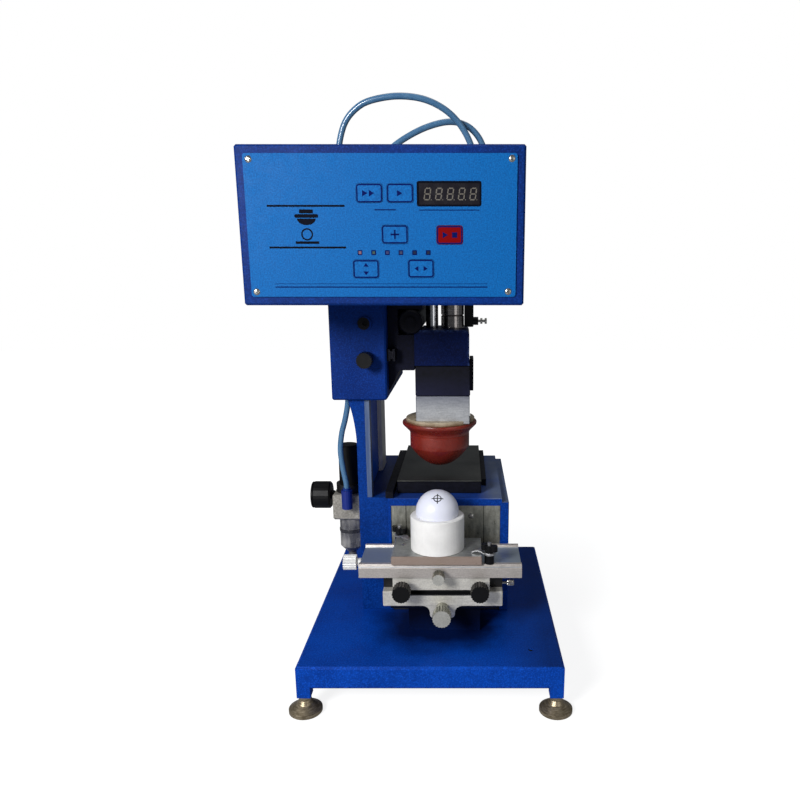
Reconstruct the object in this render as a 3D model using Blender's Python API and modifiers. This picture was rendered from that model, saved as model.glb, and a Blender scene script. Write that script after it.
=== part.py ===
"""Bench pad printing machine: a pneumatic open-plate printer with an adjustable work table.

Lengths are in metres. Inside the model x is measured from the printing axis, y from the front edge
of the base and z from the bench. The last lines move the whole machine so that the middle of its
footprint is the origin.
"""
import math

import bmesh
import bpy
from mathutils import Vector

MM = 0.001

# Fits and overruns shared by all pieces
CLEARANCE = 0.3 * MM
OVERRUN = 2 * MM
EDGE = 0.8 * MM
SOFT_EDGE = 1.6 * MM

# Folded steel base
BASE_LEFT = 132 * MM
BASE_RIGHT = 121.5 * MM
BASE_DEPTH = 306 * MM
BASE_TOP = 50 * MM
BASE_SHEET = 2.5 * MM
SKIRT_DROP = 23 * MM
LEG_DROP = 32.4 * MM
LEG_SIDE = 13 * MM
BASE_FOLD = 2.2 * MM
BOLT_HOLE = 2.5 * MM
BOLT_HOLE_X = 92 * MM
BOLT_HOLE_Y = 33 * MM

# Levelling feet
FOOT_RADIUS = 16 * MM
FOOT_RIM = 4 * MM
FOOT_NECK = 6 * MM
FOOT_SHOULDER = 9.5 * MM
FOOT_STUD = 4 * MM
FOOT_THREAD_HOLD = 11 * MM

# Plate table behind the work table
TABLE_LEFT = 53.7 * MM
TABLE_RIGHT = 74 * MM
TABLE_FRONT = 118 * MM
TABLE_BACK = 300 * MM
TABLE_TOP = 178 * MM
TABLE_DECK = 8 * MM
TABLE_POST = 9 * MM
TABLE_LEFT_WALL = 3 * MM
TABLE_BACK_WALL = 4 * MM
TABLE_STEP_WIDTH = 7.5 * MM
TABLE_STEP_DROP = 4.5 * MM
FRONT_PLATE_SET_BACK = 1.2 * MM
FRONT_PLATE_THICKNESS = 4 * MM
FRONT_PLATE_SEAM = 1.0 * MM
FRONT_PLATE_LEFT_SEAM = 35 * MM
FRONT_PLATE_RIGHT_SEAM = 47 * MM

# Etched plate, its bed and the black frame that locates them
PLATE_HALF_WIDTH = 45 * MM
PLATE_FRONT = 135 * MM
PLATE_BACK = 294 * MM
PLATE_BED_HEIGHT = 12.9 * MM
PLATE_THICKNESS = 1.3 * MM
GUIDE_HEIGHT = 7 * MM
GUIDE_LEFT_WIDTH = 8 * MM
GUIDE_LEFT_GAP = 3 * MM
GUIDE_RIGHT_WIDTH = 5 * MM
GUIDE_RIGHT_GAP = 1 * MM
GUIDE_RIGHT_FRONT = 165 * MM
GUIDE_CROSS = 4 * MM

# Column
COLUMN_LEFT = 84.4 * MM
COLUMN_BLOCK_WIDTH = 30.4 * MM
COLUMN_FRONT = 121 * MM
COLUMN_BACK = 300 * MM
BLADE_THICKNESS = 9 * MM
BLADE_TOP = 425 * MM
FLARE_BOTTOM = 232 * MM
FLARE_TOP = 281 * MM
FLARE_REACH = 7 * MM
FLARE_STEPS = 8
WAY_WIDTH = 5 * MM
WAY_FRONT_DEPTH = 12 * MM
WAY_REAR_START = 104 * MM
WAY_REAR_DEPTH = 37 * MM
WAY_SINK = 1 * MM

# Work table stand and the lower slide of the cross table
STAND_LEFT = 47 * MM
STAND_RIGHT = 60 * MM
STAND_FRONT = 60 * MM
STAND_FLANGE = 4.7 * MM
PILLAR_INSET = 17 * MM
PILLAR_SET_BACK = 12 * MM
LOWER_LEFT = 54 * MM
LOWER_RIGHT = 65 * MM
LOWER_FRONT = 54 * MM
LOWER_BACK = 112 * MM
LOWER_BOTTOM = 86 * MM
LOWER_HEIGHT = 16 * MM
LOWER_SLOT_HEIGHT = 3 * MM
LOWER_SLOT_DEPTH = 6 * MM
LOWER_SLOT_INSET = 15 * MM
TAB_CENTRE = 5 * MM
TAB_HALF_WIDTH = 12.5 * MM
TAB_DROP = 13 * MM
TAB_DEPTH = 5.5 * MM
TAB_FILLET = 7 * MM
TAB_CORNER = 4 * MM

# Middle slide, moved front to back, and top slide, moved left to right
MIDDLE_LEFT = 44 * MM
MIDDLE_RIGHT = 52 * MM
MIDDLE_FRONT = 56 * MM
MIDDLE_HEIGHT = 14.4 * MM
MIDDLE_SHOULDER = 8 * MM
TOP_LEFT = 77 * MM
TOP_RIGHT = 83.5 * MM
TOP_FRONT = 53 * MM
TOP_BACK = 113 * MM
TOP_PLATE_HEIGHT = 10 * MM
TOP_RIDGE_HEIGHT = 3.5 * MM
TOP_CHANNEL_HEIGHT = 11 * MM
TOP_RIDGE_CHAMFER = 2.5 * MM
TOP_RIDGE_WIDTH = 4 * MM
TOP_RIDGE_SLOPE = 1.4 * MM

# Knobs of the cross table: radius, length, stem radius and stem length
Y_KNOB = (9.1 * MM, 12 * MM, 6.5 * MM, 11.7 * MM)
Y_KNOB_HEIGHT = 84 * MM
LOCK_KNOB = (9 * MM, 12 * MM, 3.2 * MM, 9.7 * MM)
LOCK_KNOB_LEFT_X = 34 * MM
LOCK_KNOB_RIGHT_X = 42 * MM
LOCK_KNOB_HEIGHT = 107.7 * MM
X_KNOB = (7.8 * MM, 13 * MM, 4.2 * MM, 4.7 * MM)
X_KNOB_Y = 76 * MM
X_KNOB_HEIGHT = 124 * MM
TOP_CLAMP_KNOB = (6 * MM, 12 * MM, 3 * MM, 4.7 * MM)
TOP_CLAMP_X = 2 * MM
TOP_CLAMP_HEIGHT = 122 * MM
KNURL_TEETH = 20
KNURL_DEPTH = 0.7 * MM

# Jig plate, nest, sample ball and the two clamps
JIG_LEFT = 44.6 * MM
JIG_RIGHT = 44.2 * MM
JIG_FRONT = 51 * MM
JIG_BACK = 103 * MM
JIG_THICKNESS = 9.2 * MM
NEST_RADIUS = 26.8 * MM
NEST_HEIGHT = 34.3 * MM
NEST_Y = 76.7 * MM
BALL_RADIUS = 21.35 * MM
BALL_SINK = 17.4 * MM
CLAMP_RIGHT_X = 51.5 * MM
CLAMP_RIGHT_Y = 58 * MM
CLAMP_LEFT_X = 41 * MM
CLAMP_LEFT_Y = 108.3 * MM
CLAMP_RIGHT_TURN = math.radians(160)
CLAMP_LEFT_TURN = math.radians(-60)
CLAMP_FOOT_RADIUS = 4.8 * MM
CLAMP_STRAP_THICKNESS = 1.4 * MM
CLAMP_STRAP_WIDTH = 7 * MM
CLAMP_STRAP_REACH = 17 * MM
CLAMP_STRAP_TAIL = 5.5 * MM
CLAMP_STRAP_CROWN = 2.2 * MM
CLAMP_STUD = 2 * MM
CLAMP_STUD_PROUD = 3 * MM
CLAMP_STRAP_STEPS = 6
NUT_HUB = 4.2 * MM
NUT_HEIGHT = 7 * MM
NUT_LOBE = 3.6 * MM
NUT_LOBE_OFFSET = 5.2 * MM
NUT_TURN = math.radians(-32)

# Head housing round the column
HOUSING_LEFT = 107 * MM
HOUSING_RIGHT = 51 * MM
HOUSING_FRONT = 115 * MM
HOUSING_BACK = 305 * MM
HOUSING_BOTTOM = 283 * MM
HOUSING_TOP = 440 * MM
HOUSING_WALL = 4 * MM
HEAD_LOCK_KNOB = (8 * MM, 14 * MM, 3.5 * MM, 9.7 * MM)
HEAD_LOCK_X = 71 * MM
HEAD_LOCK_HEIGHT = 325 * MM
HEAD_SCREW_HEIGHT = 360 * MM
HEAD_SCREW_RADIUS = 6.5 * MM
HEAD_SCREW_PROUD = 2.2 * MM
HEAD_SCREW_SOCKET = 2.9 * MM
BRACKET_INSET = 5 * MM
BRACKET_RIGHT_INSET = 9 * MM
BRACKET_BOTTOM = 395 * MM
BRACKET_SINK = 1 * MM
BRACKET_WALL = 4 * MM

# Control box with its membrane panel
BOX_LEFT = 154.5 * MM
BOX_RIGHT = 76 * MM
BOX_FRONT = 2 * MM
BOX_BACK = 60 * MM
BOX_BOTTOM = 382.6 * MM
BOX_TOP = 507 * MM
BOX_SHEET = 2 * MM
BOX_RIM = 7 * MM
BOX_WINDOW_INSET = 16 * MM
PANEL_THICKNESS = 1.0 * MM
PANEL_CORNER = 2 * MM
KEY_PROUD = 0.5 * MM
KEY_DEPTH = 2.6 * MM
KEY_WIDTH = 21 * MM
KEY_HEIGHT = 14.4 * MM
KEY_CORNER = 2 * MM
KEY_CENTRES = {
    "key_top_left": (-48.6 * MM, 470.2 * MM),
    "key_top_right": (-24.0 * MM, 470.2 * MM),
    "key_middle": (-28.8 * MM, 438.7 * MM),
    "key_start_stop": (15.3 * MM, 438.3 * MM),
    "key_bottom_left": (-52.9 * MM, 411.7 * MM),
    "key_bottom_right": (-8.2 * MM, 412.0 * MM),
}
DISPLAY_X = 15.0 * MM
DISPLAY_HEIGHT = 469.8 * MM
DISPLAY_WIDTH = 49.4 * MM
DISPLAY_TALL = 17.4 * MM
DISPLAY_THICKNESS = 3 * MM
DISPLAY_SET_BACK = 0.4 * MM
SWITCH_INSET = 26.5 * MM
SWITCH_RISE = 37.4 * MM
SWITCH_X = BOX_LEFT - SWITCH_INSET
SWITCH_HEIGHT = BOX_BOTTOM + SWITCH_RISE
SWITCH_WIDTH = 13 * MM
SWITCH_TALL = 19 * MM
SWITCH_DEPTH = 6 * MM
SWITCH_PROUD = 1.6 * MM
SWITCH_TILT = math.radians(8)
GLAND_RISE = 15.4 * MM
GLAND_X = SWITCH_X
GLAND_HEIGHT = BOX_BOTTOM + GLAND_RISE
GLAND_RADIUS = 6.5 * MM
GLAND_LENGTH = 11 * MM

# Horizontal slide: rail on the housing, arm, travel cylinder and its anchored rod
RAIL_HEIGHT = 12 * MM
RAIL_THICKNESS = 8 * MM
RAIL_CENTRE = 328 * MM
RAIL_FRONT = 120 * MM
RAIL_BACK = 297 * MM
RAIL_GROOVE = 2 * MM
RAIL_BASE = 3 * MM
RAIL_HEAD = 2.5 * MM
ARM_FRONT = 133 * MM
ARM_BACK = 285 * MM
ARM_BOTTOM = 311 * MM
ARM_TOP = 347 * MM
ARM_RIGHT = 24.3 * MM
ARM_LIP_DROP = 21 * MM
ARM_LIP_WIDTH = 10.5 * MM
ARM_LIP_KNEE = 4 * MM
ARM_LIP_KNEE_RISE = 7.5 * MM
ARM_WALL_GAP = 0.6 * MM
ARM_HOOD_THICKNESS = 7 * MM
TRAVEL_CYLINDER_X = 27.5 * MM
TRAVEL_CYLINDER_RISE = 8 * MM
TRAVEL_CYLINDER_RADIUS = 12.4 * MM
TRAVEL_CYLINDER_FRONT = 130 * MM
TRAVEL_CYLINDER_BACK = 270 * MM
TRAVEL_ROD_RADIUS = 4 * MM
TRAVEL_ROD_TIP = 144 * MM
TRAVEL_NUT_RADIUS = 5 * MM
TRAVEL_NUT_LENGTH = 3 * MM
LUG_FRONT = 288 * MM
LUG_THICKNESS = 6 * MM
LUG_HEIGHT = 20 * MM
LUG_RIGHT = 17 * MM

# Pad bracket, pad cylinder and guide rod
PAD_BRACKET_LEFT = 24 * MM
PAD_BRACKET_RIGHT = 32 * MM
PAD_BRACKET_FRONT = 131 * MM
PAD_BRACKET_BACK = 197 * MM
PAD_BRACKET_BOTTOM = 316 * MM
PAD_BRACKET_TOP = 352 * MM
PAD_BRACKET_CORNER = 5 * MM
TRAVEL_CYLINDER_HEIGHT = PAD_BRACKET_TOP + TRAVEL_CYLINDER_RISE
PAD_Y = 164 * MM
PAD_CYLINDER_X = 14.5 * MM
PAD_CYLINDER_RADIUS = 12 * MM
PAD_CYLINDER_TOP = 452 * MM
PAD_CYLINDER_CAP = 12 * MM
PAD_CYLINDER_CAP_STEP = 1.2 * MM
PISTON_ROD_RADIUS = 5 * MM
PISTON_ROD_TOP = 380 * MM
GUIDE_ROD_X = 7 * MM
GUIDE_ROD_RADIUS = 6.5 * MM
GUIDE_ROD_TOP = 430 * MM

# Pad holder, spacer block, pad base and silicone pad
HOLDER_CENTRE_X = 4.6 * MM
HOLDER_WIDTH = 56.8 * MM
HOLDER_FRONT = 135 * MM
HOLDER_BACK = 193 * MM
HOLDER_BOTTOM = 284 * MM
SPACER_HEIGHT = 30.1 * MM
SPACER_FRONT = 137 * MM
SPACER_BACK = 191 * MM
CLIP_THICKNESS = 3.5 * MM
CLIP_WIDTH = 26 * MM
CLIP_TOP = 321 * MM
CLIP_OVERLAP = 0.5 * MM
CLIP_BOTTOM = 285 * MM
PAD_BASE_RADIUS = 36.5 * MM
PAD_BASE_PROUD = 0.7 * MM
PAD_RIM_RADIUS = 40.2 * MM
PAD_BODY_RADIUS = 32.2 * MM
PAD_RIM_HEIGHT = 3 * MM
PAD_TAPER_HEIGHT = 8 * MM
PAD_BODY_HEIGHT = 16.5 * MM
PAD_DOME_HEIGHT = 22 * MM
PAD_DOME_POWER = 2.2
PAD_DOME_STEPS = 8

# Flow valve beside the pad cylinder
VALVE_RIGHT = 36.5 * MM
VALVE_DEPTH = 9 * MM
VALVE_BOTTOM = 353 * MM
VALVE_TOP = 386 * MM
VALVE_SCREW_HEIGHT = 359 * MM
VALVE_BOSS_RADIUS = 4.2 * MM
VALVE_BOSS_LENGTH = 5 * MM
VALVE_SCREW_RADIUS = 1.4 * MM
VALVE_SCREW_LENGTH = 9 * MM
VALVE_NUT_RADIUS = 3 * MM
VALVE_NUT_LENGTH = 2.2 * MM
PORT_RADIUS = 4.5 * MM
PORT_COLLAR = 5.4 * MM
PORT_COLLAR_HEIGHT = 3 * MM

# Valve manifold on top of the housing
MANIFOLD_LEFT = 104 * MM
MANIFOLD_RIGHT = 54 * MM
MANIFOLD_FRONT = 138 * MM
MANIFOLD_BACK = 190 * MM
MANIFOLD_HEIGHT = 20 * MM
MANIFOLD_COIL_DEPTH = 24 * MM
MANIFOLD_COIL_WIDTH = 19 * MM
MANIFOLD_COIL_HEIGHT = 16 * MM
MANIFOLD_COIL_GAP = 6 * MM
SUPPLY_PORT_RADIUS = 4 * MM

# Filter regulator, gauge and elbow on the left of the column
REGULATOR_X = 102.3 * MM
REGULATOR_Y = 176 * MM
REGULATOR_BOTTOM = 140 * MM
REGULATOR_HEIGHT = 29 * MM
REGULATOR_WIDTH = 34.6 * MM
REGULATOR_DEPTH = 36 * MM
REGULATOR_NECK_RADIUS = 15 * MM
REGULATOR_NECK_HEIGHT = 9.7 * MM
REGULATOR_KNOB_RADIUS = 11.5 * MM
REGULATOR_KNOB_HEIGHT = 44 * MM
BOWL_RADIUS = 13 * MM
BOWL_HEIGHT = 35 * MM
BOWL_CONE_HEIGHT = 9 * MM
BOWL_BAND = 0.6 * MM
BOWL_BAND_HEIGHT = 3 * MM
DRAIN_RADIUS = 4.5 * MM
DRAIN_HEIGHT = 8 * MM
GAUGE_RADIUS = 15.3 * MM
GAUGE_DEPTH = 20 * MM
GAUGE_HEIGHT = 164 * MM
GAUGE_STEM_RADIUS = 5 * MM
GAUGE_STEM_LENGTH = 3.5 * MM
ELBOW_RADIUS = 6 * MM
ELBOW_Y = 148 * MM
ELBOW_HEIGHT = 163 * MM
ELBOW_TOP = 178 * MM

# Air hoses: diameters, routes as (x, y, z) through which a smooth curve runs
HOSE_RADIUS = 3 * MM
HOSE_STEP = 11 * MM
SUPPLY_ROUTE = [(-101.5 * MM, 148 * MM, 178.5 * MM), (-101.9 * MM, 148 * MM, 187 * MM),
                (-105 * MM, 148.8 * MM, 204 * MM), (-106.8 * MM, 149.6 * MM, 222 * MM),
                (-104.8 * MM, 150 * MM, 240 * MM), (-100.2 * MM, 150 * MM, 257 * MM),
                (-96.8 * MM, 150 * MM, 275 * MM), (-96.2 * MM, 150 * MM, 296 * MM),
                (-97 * MM, 150 * MM, 330 * MM), (-97 * MM, 150 * MM, 380 * MM),
                (-97 * MM, 150 * MM, 429.7 * MM)]
HOSE_A_ROUTE = [(-95 * MM, 150 * MM, 470.6 * MM), (-95.2 * MM, 150 * MM, 484 * MM),
                (-96.6 * MM, 149.5 * MM, 506 * MM), (-95 * MM, 148 * MM, 528 * MM),
                (-88.5 * MM, 146 * MM, 548 * MM), (-77 * MM, 143.5 * MM, 560.5 * MM),
                (-62 * MM, 141.5 * MM, 567.5 * MM), (-36 * MM, 140 * MM, 571 * MM),
                (-10 * MM, 141 * MM, 568 * MM), (12 * MM, 145 * MM, 557.5 * MM),
                (28 * MM, 149 * MM, 540 * MM), (37.5 * MM, 150.5 * MM, 516 * MM),
                (41.5 * MM, 150.5 * MM, 484 * MM), (40 * MM, 152.2 * MM, 450 * MM),
                (36 * MM, 158.4 * MM, 418 * MM), (32.4 * MM, 163.4 * MM, 398 * MM),
                (31.65 * MM, 164 * MM, 386.5 * MM)]
HOSE_B_ROUTE = [(-63 * MM, 150 * MM, 470.6 * MM), (-62.8 * MM, 150 * MM, 482 * MM),
                (-59 * MM, 150.6 * MM, 503 * MM), (-49.5 * MM, 152 * MM, 521 * MM),
                (-36 * MM, 153.4 * MM, 533 * MM), (-12 * MM, 155 * MM, 545.5 * MM),
                (12 * MM, 157 * MM, 551.5 * MM), (30 * MM, 159.8 * MM, 548 * MM),
                (42.5 * MM, 162 * MM, 536 * MM), (48 * MM, 163.4 * MM, 519 * MM),
                (47 * MM, 164 * MM, 500 * MM), (42.5 * MM, 164 * MM, 482 * MM),
                (39.4 * MM, 164 * MM, 470 * MM), (39 * MM, 164 * MM, 461.5 * MM)]

# Facets round each kind of turned piece
FACETS_LARGE = 48
FACETS_MEDIUM = 32
FACETS_SMALL = 16

# Paint and material of the pieces: colour, roughness, metallic
BLUE_PAINT = ((0.010, 0.060, 0.420), 0.45, 0.0)
PANEL_BLUE = ((0.012, 0.180, 0.620), 0.40, 0.0)
BARE_ALUMINIUM = ((0.560, 0.545, 0.520), 0.38, 1.0)
BRIGHT_STEEL = ((0.620, 0.620, 0.610), 0.22, 1.0)
DARK_STEEL = ((0.110, 0.115, 0.105), 0.42, 0.8)
BLACK_OXIDE = ((0.012, 0.012, 0.013), 0.45, 0.3)
BLACK_PLASTIC = ((0.010, 0.010, 0.010), 0.40, 0.0)
WHITE_NYLON = ((0.860, 0.870, 0.880), 0.50, 0.0)
BALL_WHITE = ((0.760, 0.790, 0.900), 0.35, 0.0)
RED_SILICONE = ((0.360, 0.055, 0.028), 0.28, 0.0)
ZINC_CASTING = ((0.560, 0.530, 0.450), 0.40, 0.7)
CLEAR_BOWL = ((0.750, 0.740, 0.730), 0.20, 0.0)
HOSE_BLUE = ((0.120, 0.300, 0.480), 0.30, 0.0)
DISPLAY_GLASS = ((0.020, 0.014, 0.012), 0.10, 0.0)
RED_KEY = ((0.680, 0.020, 0.030), 0.40, 0.0)


# Scene and helpers
for old in list(bpy.data.objects):
    bpy.data.objects.remove(old, do_unlink=True)

machine = bpy.data.collections.new("pad_printing_machine")
cutters = bpy.data.collections.new("cutters")
bpy.context.scene.collection.children.link(machine)
bpy.context.scene.collection.children.link(cutters)

datum = bpy.data.objects.new("machine_datum", None)
machine.objects.link(datum)


def adopt(obj, name, finish):
    """Name a finished piece, put it in its collection and give it a material of its own."""
    obj.name = name
    obj.data.name = name
    for collection in list(obj.users_collection):
        collection.objects.unlink(obj)
    if finish is None:
        cutters.objects.link(obj)
        obj.hide_render = True
        obj.display_type = "WIRE"
        return obj
    machine.objects.link(obj)
    colour, roughness, metallic = finish
    material = bpy.data.materials.new(name + "_finish")
    material.use_nodes = True
    shader = material.node_tree.nodes["Principled BSDF"]
    shader.inputs["Base Color"].default_value = (*colour, 1.0)
    shader.inputs["Roughness"].default_value = roughness
    shader.inputs["Metallic"].default_value = metallic
    obj.data.materials.clear()
    obj.data.materials.append(material)
    return obj


def round_edges(obj, width, angle=math.radians(40), segments=1):
    """Break the sharp edges of a piece."""
    bevel = obj.modifiers.new("rounded edges", "BEVEL")
    bevel.width = width
    bevel.segments = segments
    bevel.limit_method = "ANGLE"
    bevel.angle_limit = angle
    return obj


def block(name, finish, low, high, edge=0.0):
    """A cuboid between two corners."""
    centre = [(a + b) / 2 for a, b in zip(low, high)]
    bpy.ops.mesh.primitive_cube_add(size=1, location=centre)
    obj = bpy.context.object
    obj.scale = [b - a for a, b in zip(low, high)]
    bpy.ops.object.transform_apply(location=False, rotation=False, scale=True)
    if edge:
        round_edges(obj, edge)
    return adopt(obj, name, finish)


def rod(name, finish, radius, start, end, facets=FACETS_MEDIUM, end_radius=None):
    """A round bar or a cone from one point to another; its origin is its middle, on its axis."""
    start, end = Vector(start), Vector(end)
    along = end - start
    turn = along.to_track_quat("Z", "Y").to_euler()
    tip = radius if end_radius is None else end_radius
    bpy.ops.mesh.primitive_cone_add(vertices=facets, radius1=radius, radius2=tip, depth=along.length,
                                    location=(start + end) / 2, rotation=turn)
    obj = bpy.context.object
    obj.data.shade_smooth()
    obj.data.set_sharp_from_angle(angle=math.radians(35))
    return adopt(obj, name, finish)


def turned(name, finish, profile, place, axis=(0, 0, 1), facets=FACETS_MEDIUM):
    """A turned piece: its (radius, height) profile runs from the top down the outer side."""
    mesh = bpy.data.meshes.new(name)
    mesh.from_pydata([(radius, 0, height) for radius, height in profile],
                     [(i, i + 1) for i in range(len(profile) - 1)], [])
    obj = bpy.data.objects.new(name, mesh)
    obj.location = place
    obj.rotation_euler = Vector(axis).to_track_quat("Z", "Y").to_euler()
    machine.objects.link(obj)
    screw = obj.modifiers.new("turned", "SCREW")
    screw.steps = screw.render_steps = facets
    screw.use_merge_vertices = True
    screw.merge_threshold = 0.00001
    screw.use_smooth_shade = True
    return adopt(obj, name, finish)


def flat_outline(name, finish, points, low, high, plane="XZ"):
    """A flat outline given thickness along the third axis, from low to high, as a mesh."""
    curve = bpy.data.curves.new(name, "CURVE")
    curve.dimensions = "2D"
    curve.fill_mode = "BOTH"
    curve.extrude = (high - low) / 2
    spline = curve.splines.new("POLY")
    spline.points.add(len(points) - 1)
    for point, (across, up) in zip(spline.points, points):
        point.co = (across, up, 0, 1)
    spline.use_cyclic_u = True
    obj = bpy.data.objects.new(name, curve)
    middle = (low + high) / 2
    places = {"XZ": ((0, middle, 0), (math.pi / 2, 0, 0)),
              "YZ": ((middle, 0, 0), (math.pi / 2, 0, math.pi / 2)),
              "XY": ((0, 0, middle), (0, 0, 0))}
    obj.location, obj.rotation_euler = places[plane]
    machine.objects.link(obj)
    return adopt(as_mesh(obj), name, finish)


def as_mesh(obj):
    """Turn a curve object into a mesh object with welded caps, in the same place."""
    bpy.context.view_layer.update()
    graph = bpy.context.evaluated_depsgraph_get()
    mesh = bpy.data.meshes.new_from_object(obj.evaluated_get(graph))
    frame = obj.matrix_world.copy()
    bpy.data.objects.remove(obj, do_unlink=True)
    work = bmesh.new()
    work.from_mesh(mesh)
    bmesh.ops.remove_doubles(work, verts=work.verts, dist=0.000001)
    bmesh.ops.recalc_face_normals(work, faces=work.faces)
    work.to_mesh(mesh)
    work.free()
    solid = bpy.data.objects.new("outline", mesh)
    solid.matrix_world = frame
    machine.objects.link(solid)
    return solid


def hose(name, finish, route, radius, step):
    """A tube whose centre follows a smooth curve through the points of its route."""
    points = [Vector(point) for point in route]
    ends = [points[0] * 2 - points[1]] + points + [points[-1] * 2 - points[-2]]
    centre = []
    for before, start, end, after in zip(ends, ends[1:], ends[2:], ends[3:]):
        count = max(1, round((end - start).length / step))
        for i in range(count):
            t = i / count
            centre.append(((start * 2) + (end - before) * t
                           + (before * 2 - start * 5 + end * 4 - after) * t ** 2
                           + (start * 3 - before - end * 3 + after) * t ** 3) / 2)
    centre.append(points[-1])
    curve = bpy.data.curves.new(name, "CURVE")
    curve.dimensions = "3D"
    curve.bevel_depth = radius
    curve.bevel_resolution = 2
    curve.use_fill_caps = True
    spline = curve.splines.new("POLY")
    spline.points.add(len(centre) - 1)
    for point, place in zip(spline.points, centre):
        point.co = (*place, 1)
    obj = bpy.data.objects.new(name, curve)
    machine.objects.link(obj)
    return adopt(obj, name, finish)


def combine(obj, tool, operation):
    """Join a shape to a piece, or cut it out, with a Boolean modifier."""
    boolean = obj.modifiers.new(operation.lower() + " " + tool.name, "BOOLEAN")
    boolean.object = tool
    boolean.operation = operation
    boolean.solver = "EXACT"
    return obj


def cut(obj, tool):
    """Cut a shape out of a piece."""
    return combine(obj, tool, "DIFFERENCE")


def join(obj, tool):
    """Weld a shape to a piece."""
    return combine(obj, tool, "UNION")


def arc(centre, radius, start, end, steps):
    """Points on an arc, from one angle in degrees to another."""
    angles = [math.radians(start + (end - start) * i / steps) for i in range(steps + 1)]
    return [(centre[0] + radius * math.cos(a), centre[1] + radius * math.sin(a)) for a in angles]


def rounded_rectangle(centre, width, height, radius, steps=3):
    """The outline of a rectangle with round corners."""
    across, up = width / 2 - radius, height / 2 - radius
    corners = [(across, up, 0), (-across, up, 90), (-across, -up, 180), (across, -up, 270)]
    points = []
    for x, z, start in corners:
        points += arc((centre[0] + x, centre[1] + z), radius, start, start + 90, steps)
    return points


def knurled_knob(name, finish, sizes, face, axis):
    """A knob with a toothed rim on a stem: face is the middle of its outer face, axis points outwards."""
    radius, length, stem_radius, stem_length = sizes
    axis = Vector(axis)
    face = Vector(face)
    rim = rod(name, finish, radius, face - axis * length, face, KNURL_TEETH * 2)
    for vertex in rim.data.vertices:
        angle = math.atan2(vertex.co.y, vertex.co.x)
        tooth = round(angle / (math.pi / KNURL_TEETH)) % 2
        if tooth:
            vertex.co.x -= math.copysign(KNURL_DEPTH, vertex.co.x) * abs(math.cos(angle))
            vertex.co.y -= math.copysign(KNURL_DEPTH, vertex.co.y) * abs(math.sin(angle))
    stem = rod(name + "_stem", None, stem_radius, face - axis * (length - CLEARANCE),
               face - axis * (length + stem_length), FACETS_SMALL)
    return join(rim, stem)


# Base: a tray folded from sheet steel, open below, on four square legs
base_left, base_right = -BASE_LEFT, BASE_RIGHT
skirt_bottom = BASE_TOP - SKIRT_DROP
leg_bottom = BASE_TOP - LEG_DROP
base = block("base_plate", BLUE_PAINT, (base_left, 0, skirt_bottom), (base_right, BASE_DEPTH, BASE_TOP),
             BASE_FOLD)
cut(base, block("base_hollow", None, (base_left + BASE_SHEET, BASE_SHEET, skirt_bottom - OVERRUN),
                (base_right - BASE_SHEET, BASE_DEPTH - BASE_SHEET, BASE_TOP - BASE_SHEET)))
foot_places = {}
for side, leg_x in (("left", base_left), ("right", base_right - LEG_SIDE)):
    for end, leg_y in (("front", 0), ("rear", BASE_DEPTH - LEG_SIDE)):
        inset_x = CLEARANCE if side == "left" else -CLEARANCE
        inset_y = CLEARANCE if end == "front" else -CLEARANCE
        corner = (leg_x + inset_x, leg_y + inset_y)
        join(base, block("leg_" + end + "_" + side, None, (*corner, leg_bottom),
                         (corner[0] + LEG_SIDE, corner[1] + LEG_SIDE, BASE_TOP - BASE_SHEET / 2)))
        foot_places[end + "_" + side] = (corner[0] + LEG_SIDE / 2, corner[1] + LEG_SIDE / 2)
for place, (x, y) in foot_places.items():
    cut(base, rod("foot_hole_" + place, None, FOOT_STUD + CLEARANCE, (x, y, leg_bottom - OVERRUN),
                  (x, y, leg_bottom + FOOT_THREAD_HOLD + CLEARANCE), FACETS_SMALL))
cut(base, rod("bolt_hole", None, BOLT_HOLE, (BOLT_HOLE_X, BOLT_HOLE_Y, BASE_TOP - BASE_SHEET - OVERRUN),
              (BOLT_HOLE_X, BOLT_HOLE_Y, BASE_TOP + OVERRUN), FACETS_SMALL))

# Levelling feet: a pressed bell on a threaded stud
neck_top = leg_bottom - CLEARANCE
for place, (x, y) in foot_places.items():
    turned("foot_" + place, BRIGHT_STEEL,
           [(0, leg_bottom + FOOT_THREAD_HOLD), (FOOT_STUD, leg_bottom + FOOT_THREAD_HOLD),
            (FOOT_STUD, neck_top),
            (FOOT_NECK, neck_top), (FOOT_NECK, (neck_top + FOOT_SHOULDER) / 2),
            (FOOT_NECK * 1.35, FOOT_SHOULDER),
            (FOOT_RADIUS, FOOT_RIM), (FOOT_RADIUS, EDGE), (FOOT_RADIUS - EDGE, 0), (0, 0)], (x, y, 0))

# Plate table: a welded box, open below and at the front, with a step along its right edge
ground = BASE_TOP + CLEARANCE
table = block("table_body", BLUE_PAINT, (-TABLE_LEFT, TABLE_FRONT, ground),
              (TABLE_RIGHT, TABLE_BACK, TABLE_TOP), EDGE)
deck_underside = TABLE_TOP - TABLE_DECK
cut(table,
    block("table_hollow", None, (-TABLE_LEFT + TABLE_LEFT_WALL, TABLE_FRONT - OVERRUN, ground - OVERRUN),
                 (TABLE_RIGHT - TABLE_POST, TABLE_BACK - TABLE_BACK_WALL, deck_underside)))
cut(table, block("table_step", None,
                 (TABLE_RIGHT - TABLE_STEP_WIDTH, TABLE_FRONT - OVERRUN, TABLE_TOP - TABLE_STEP_DROP),
                 (TABLE_RIGHT + OVERRUN, TABLE_BACK + OVERRUN, TABLE_TOP + OVERRUN)))
plate_front = TABLE_FRONT + FRONT_PLATE_SET_BACK
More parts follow.
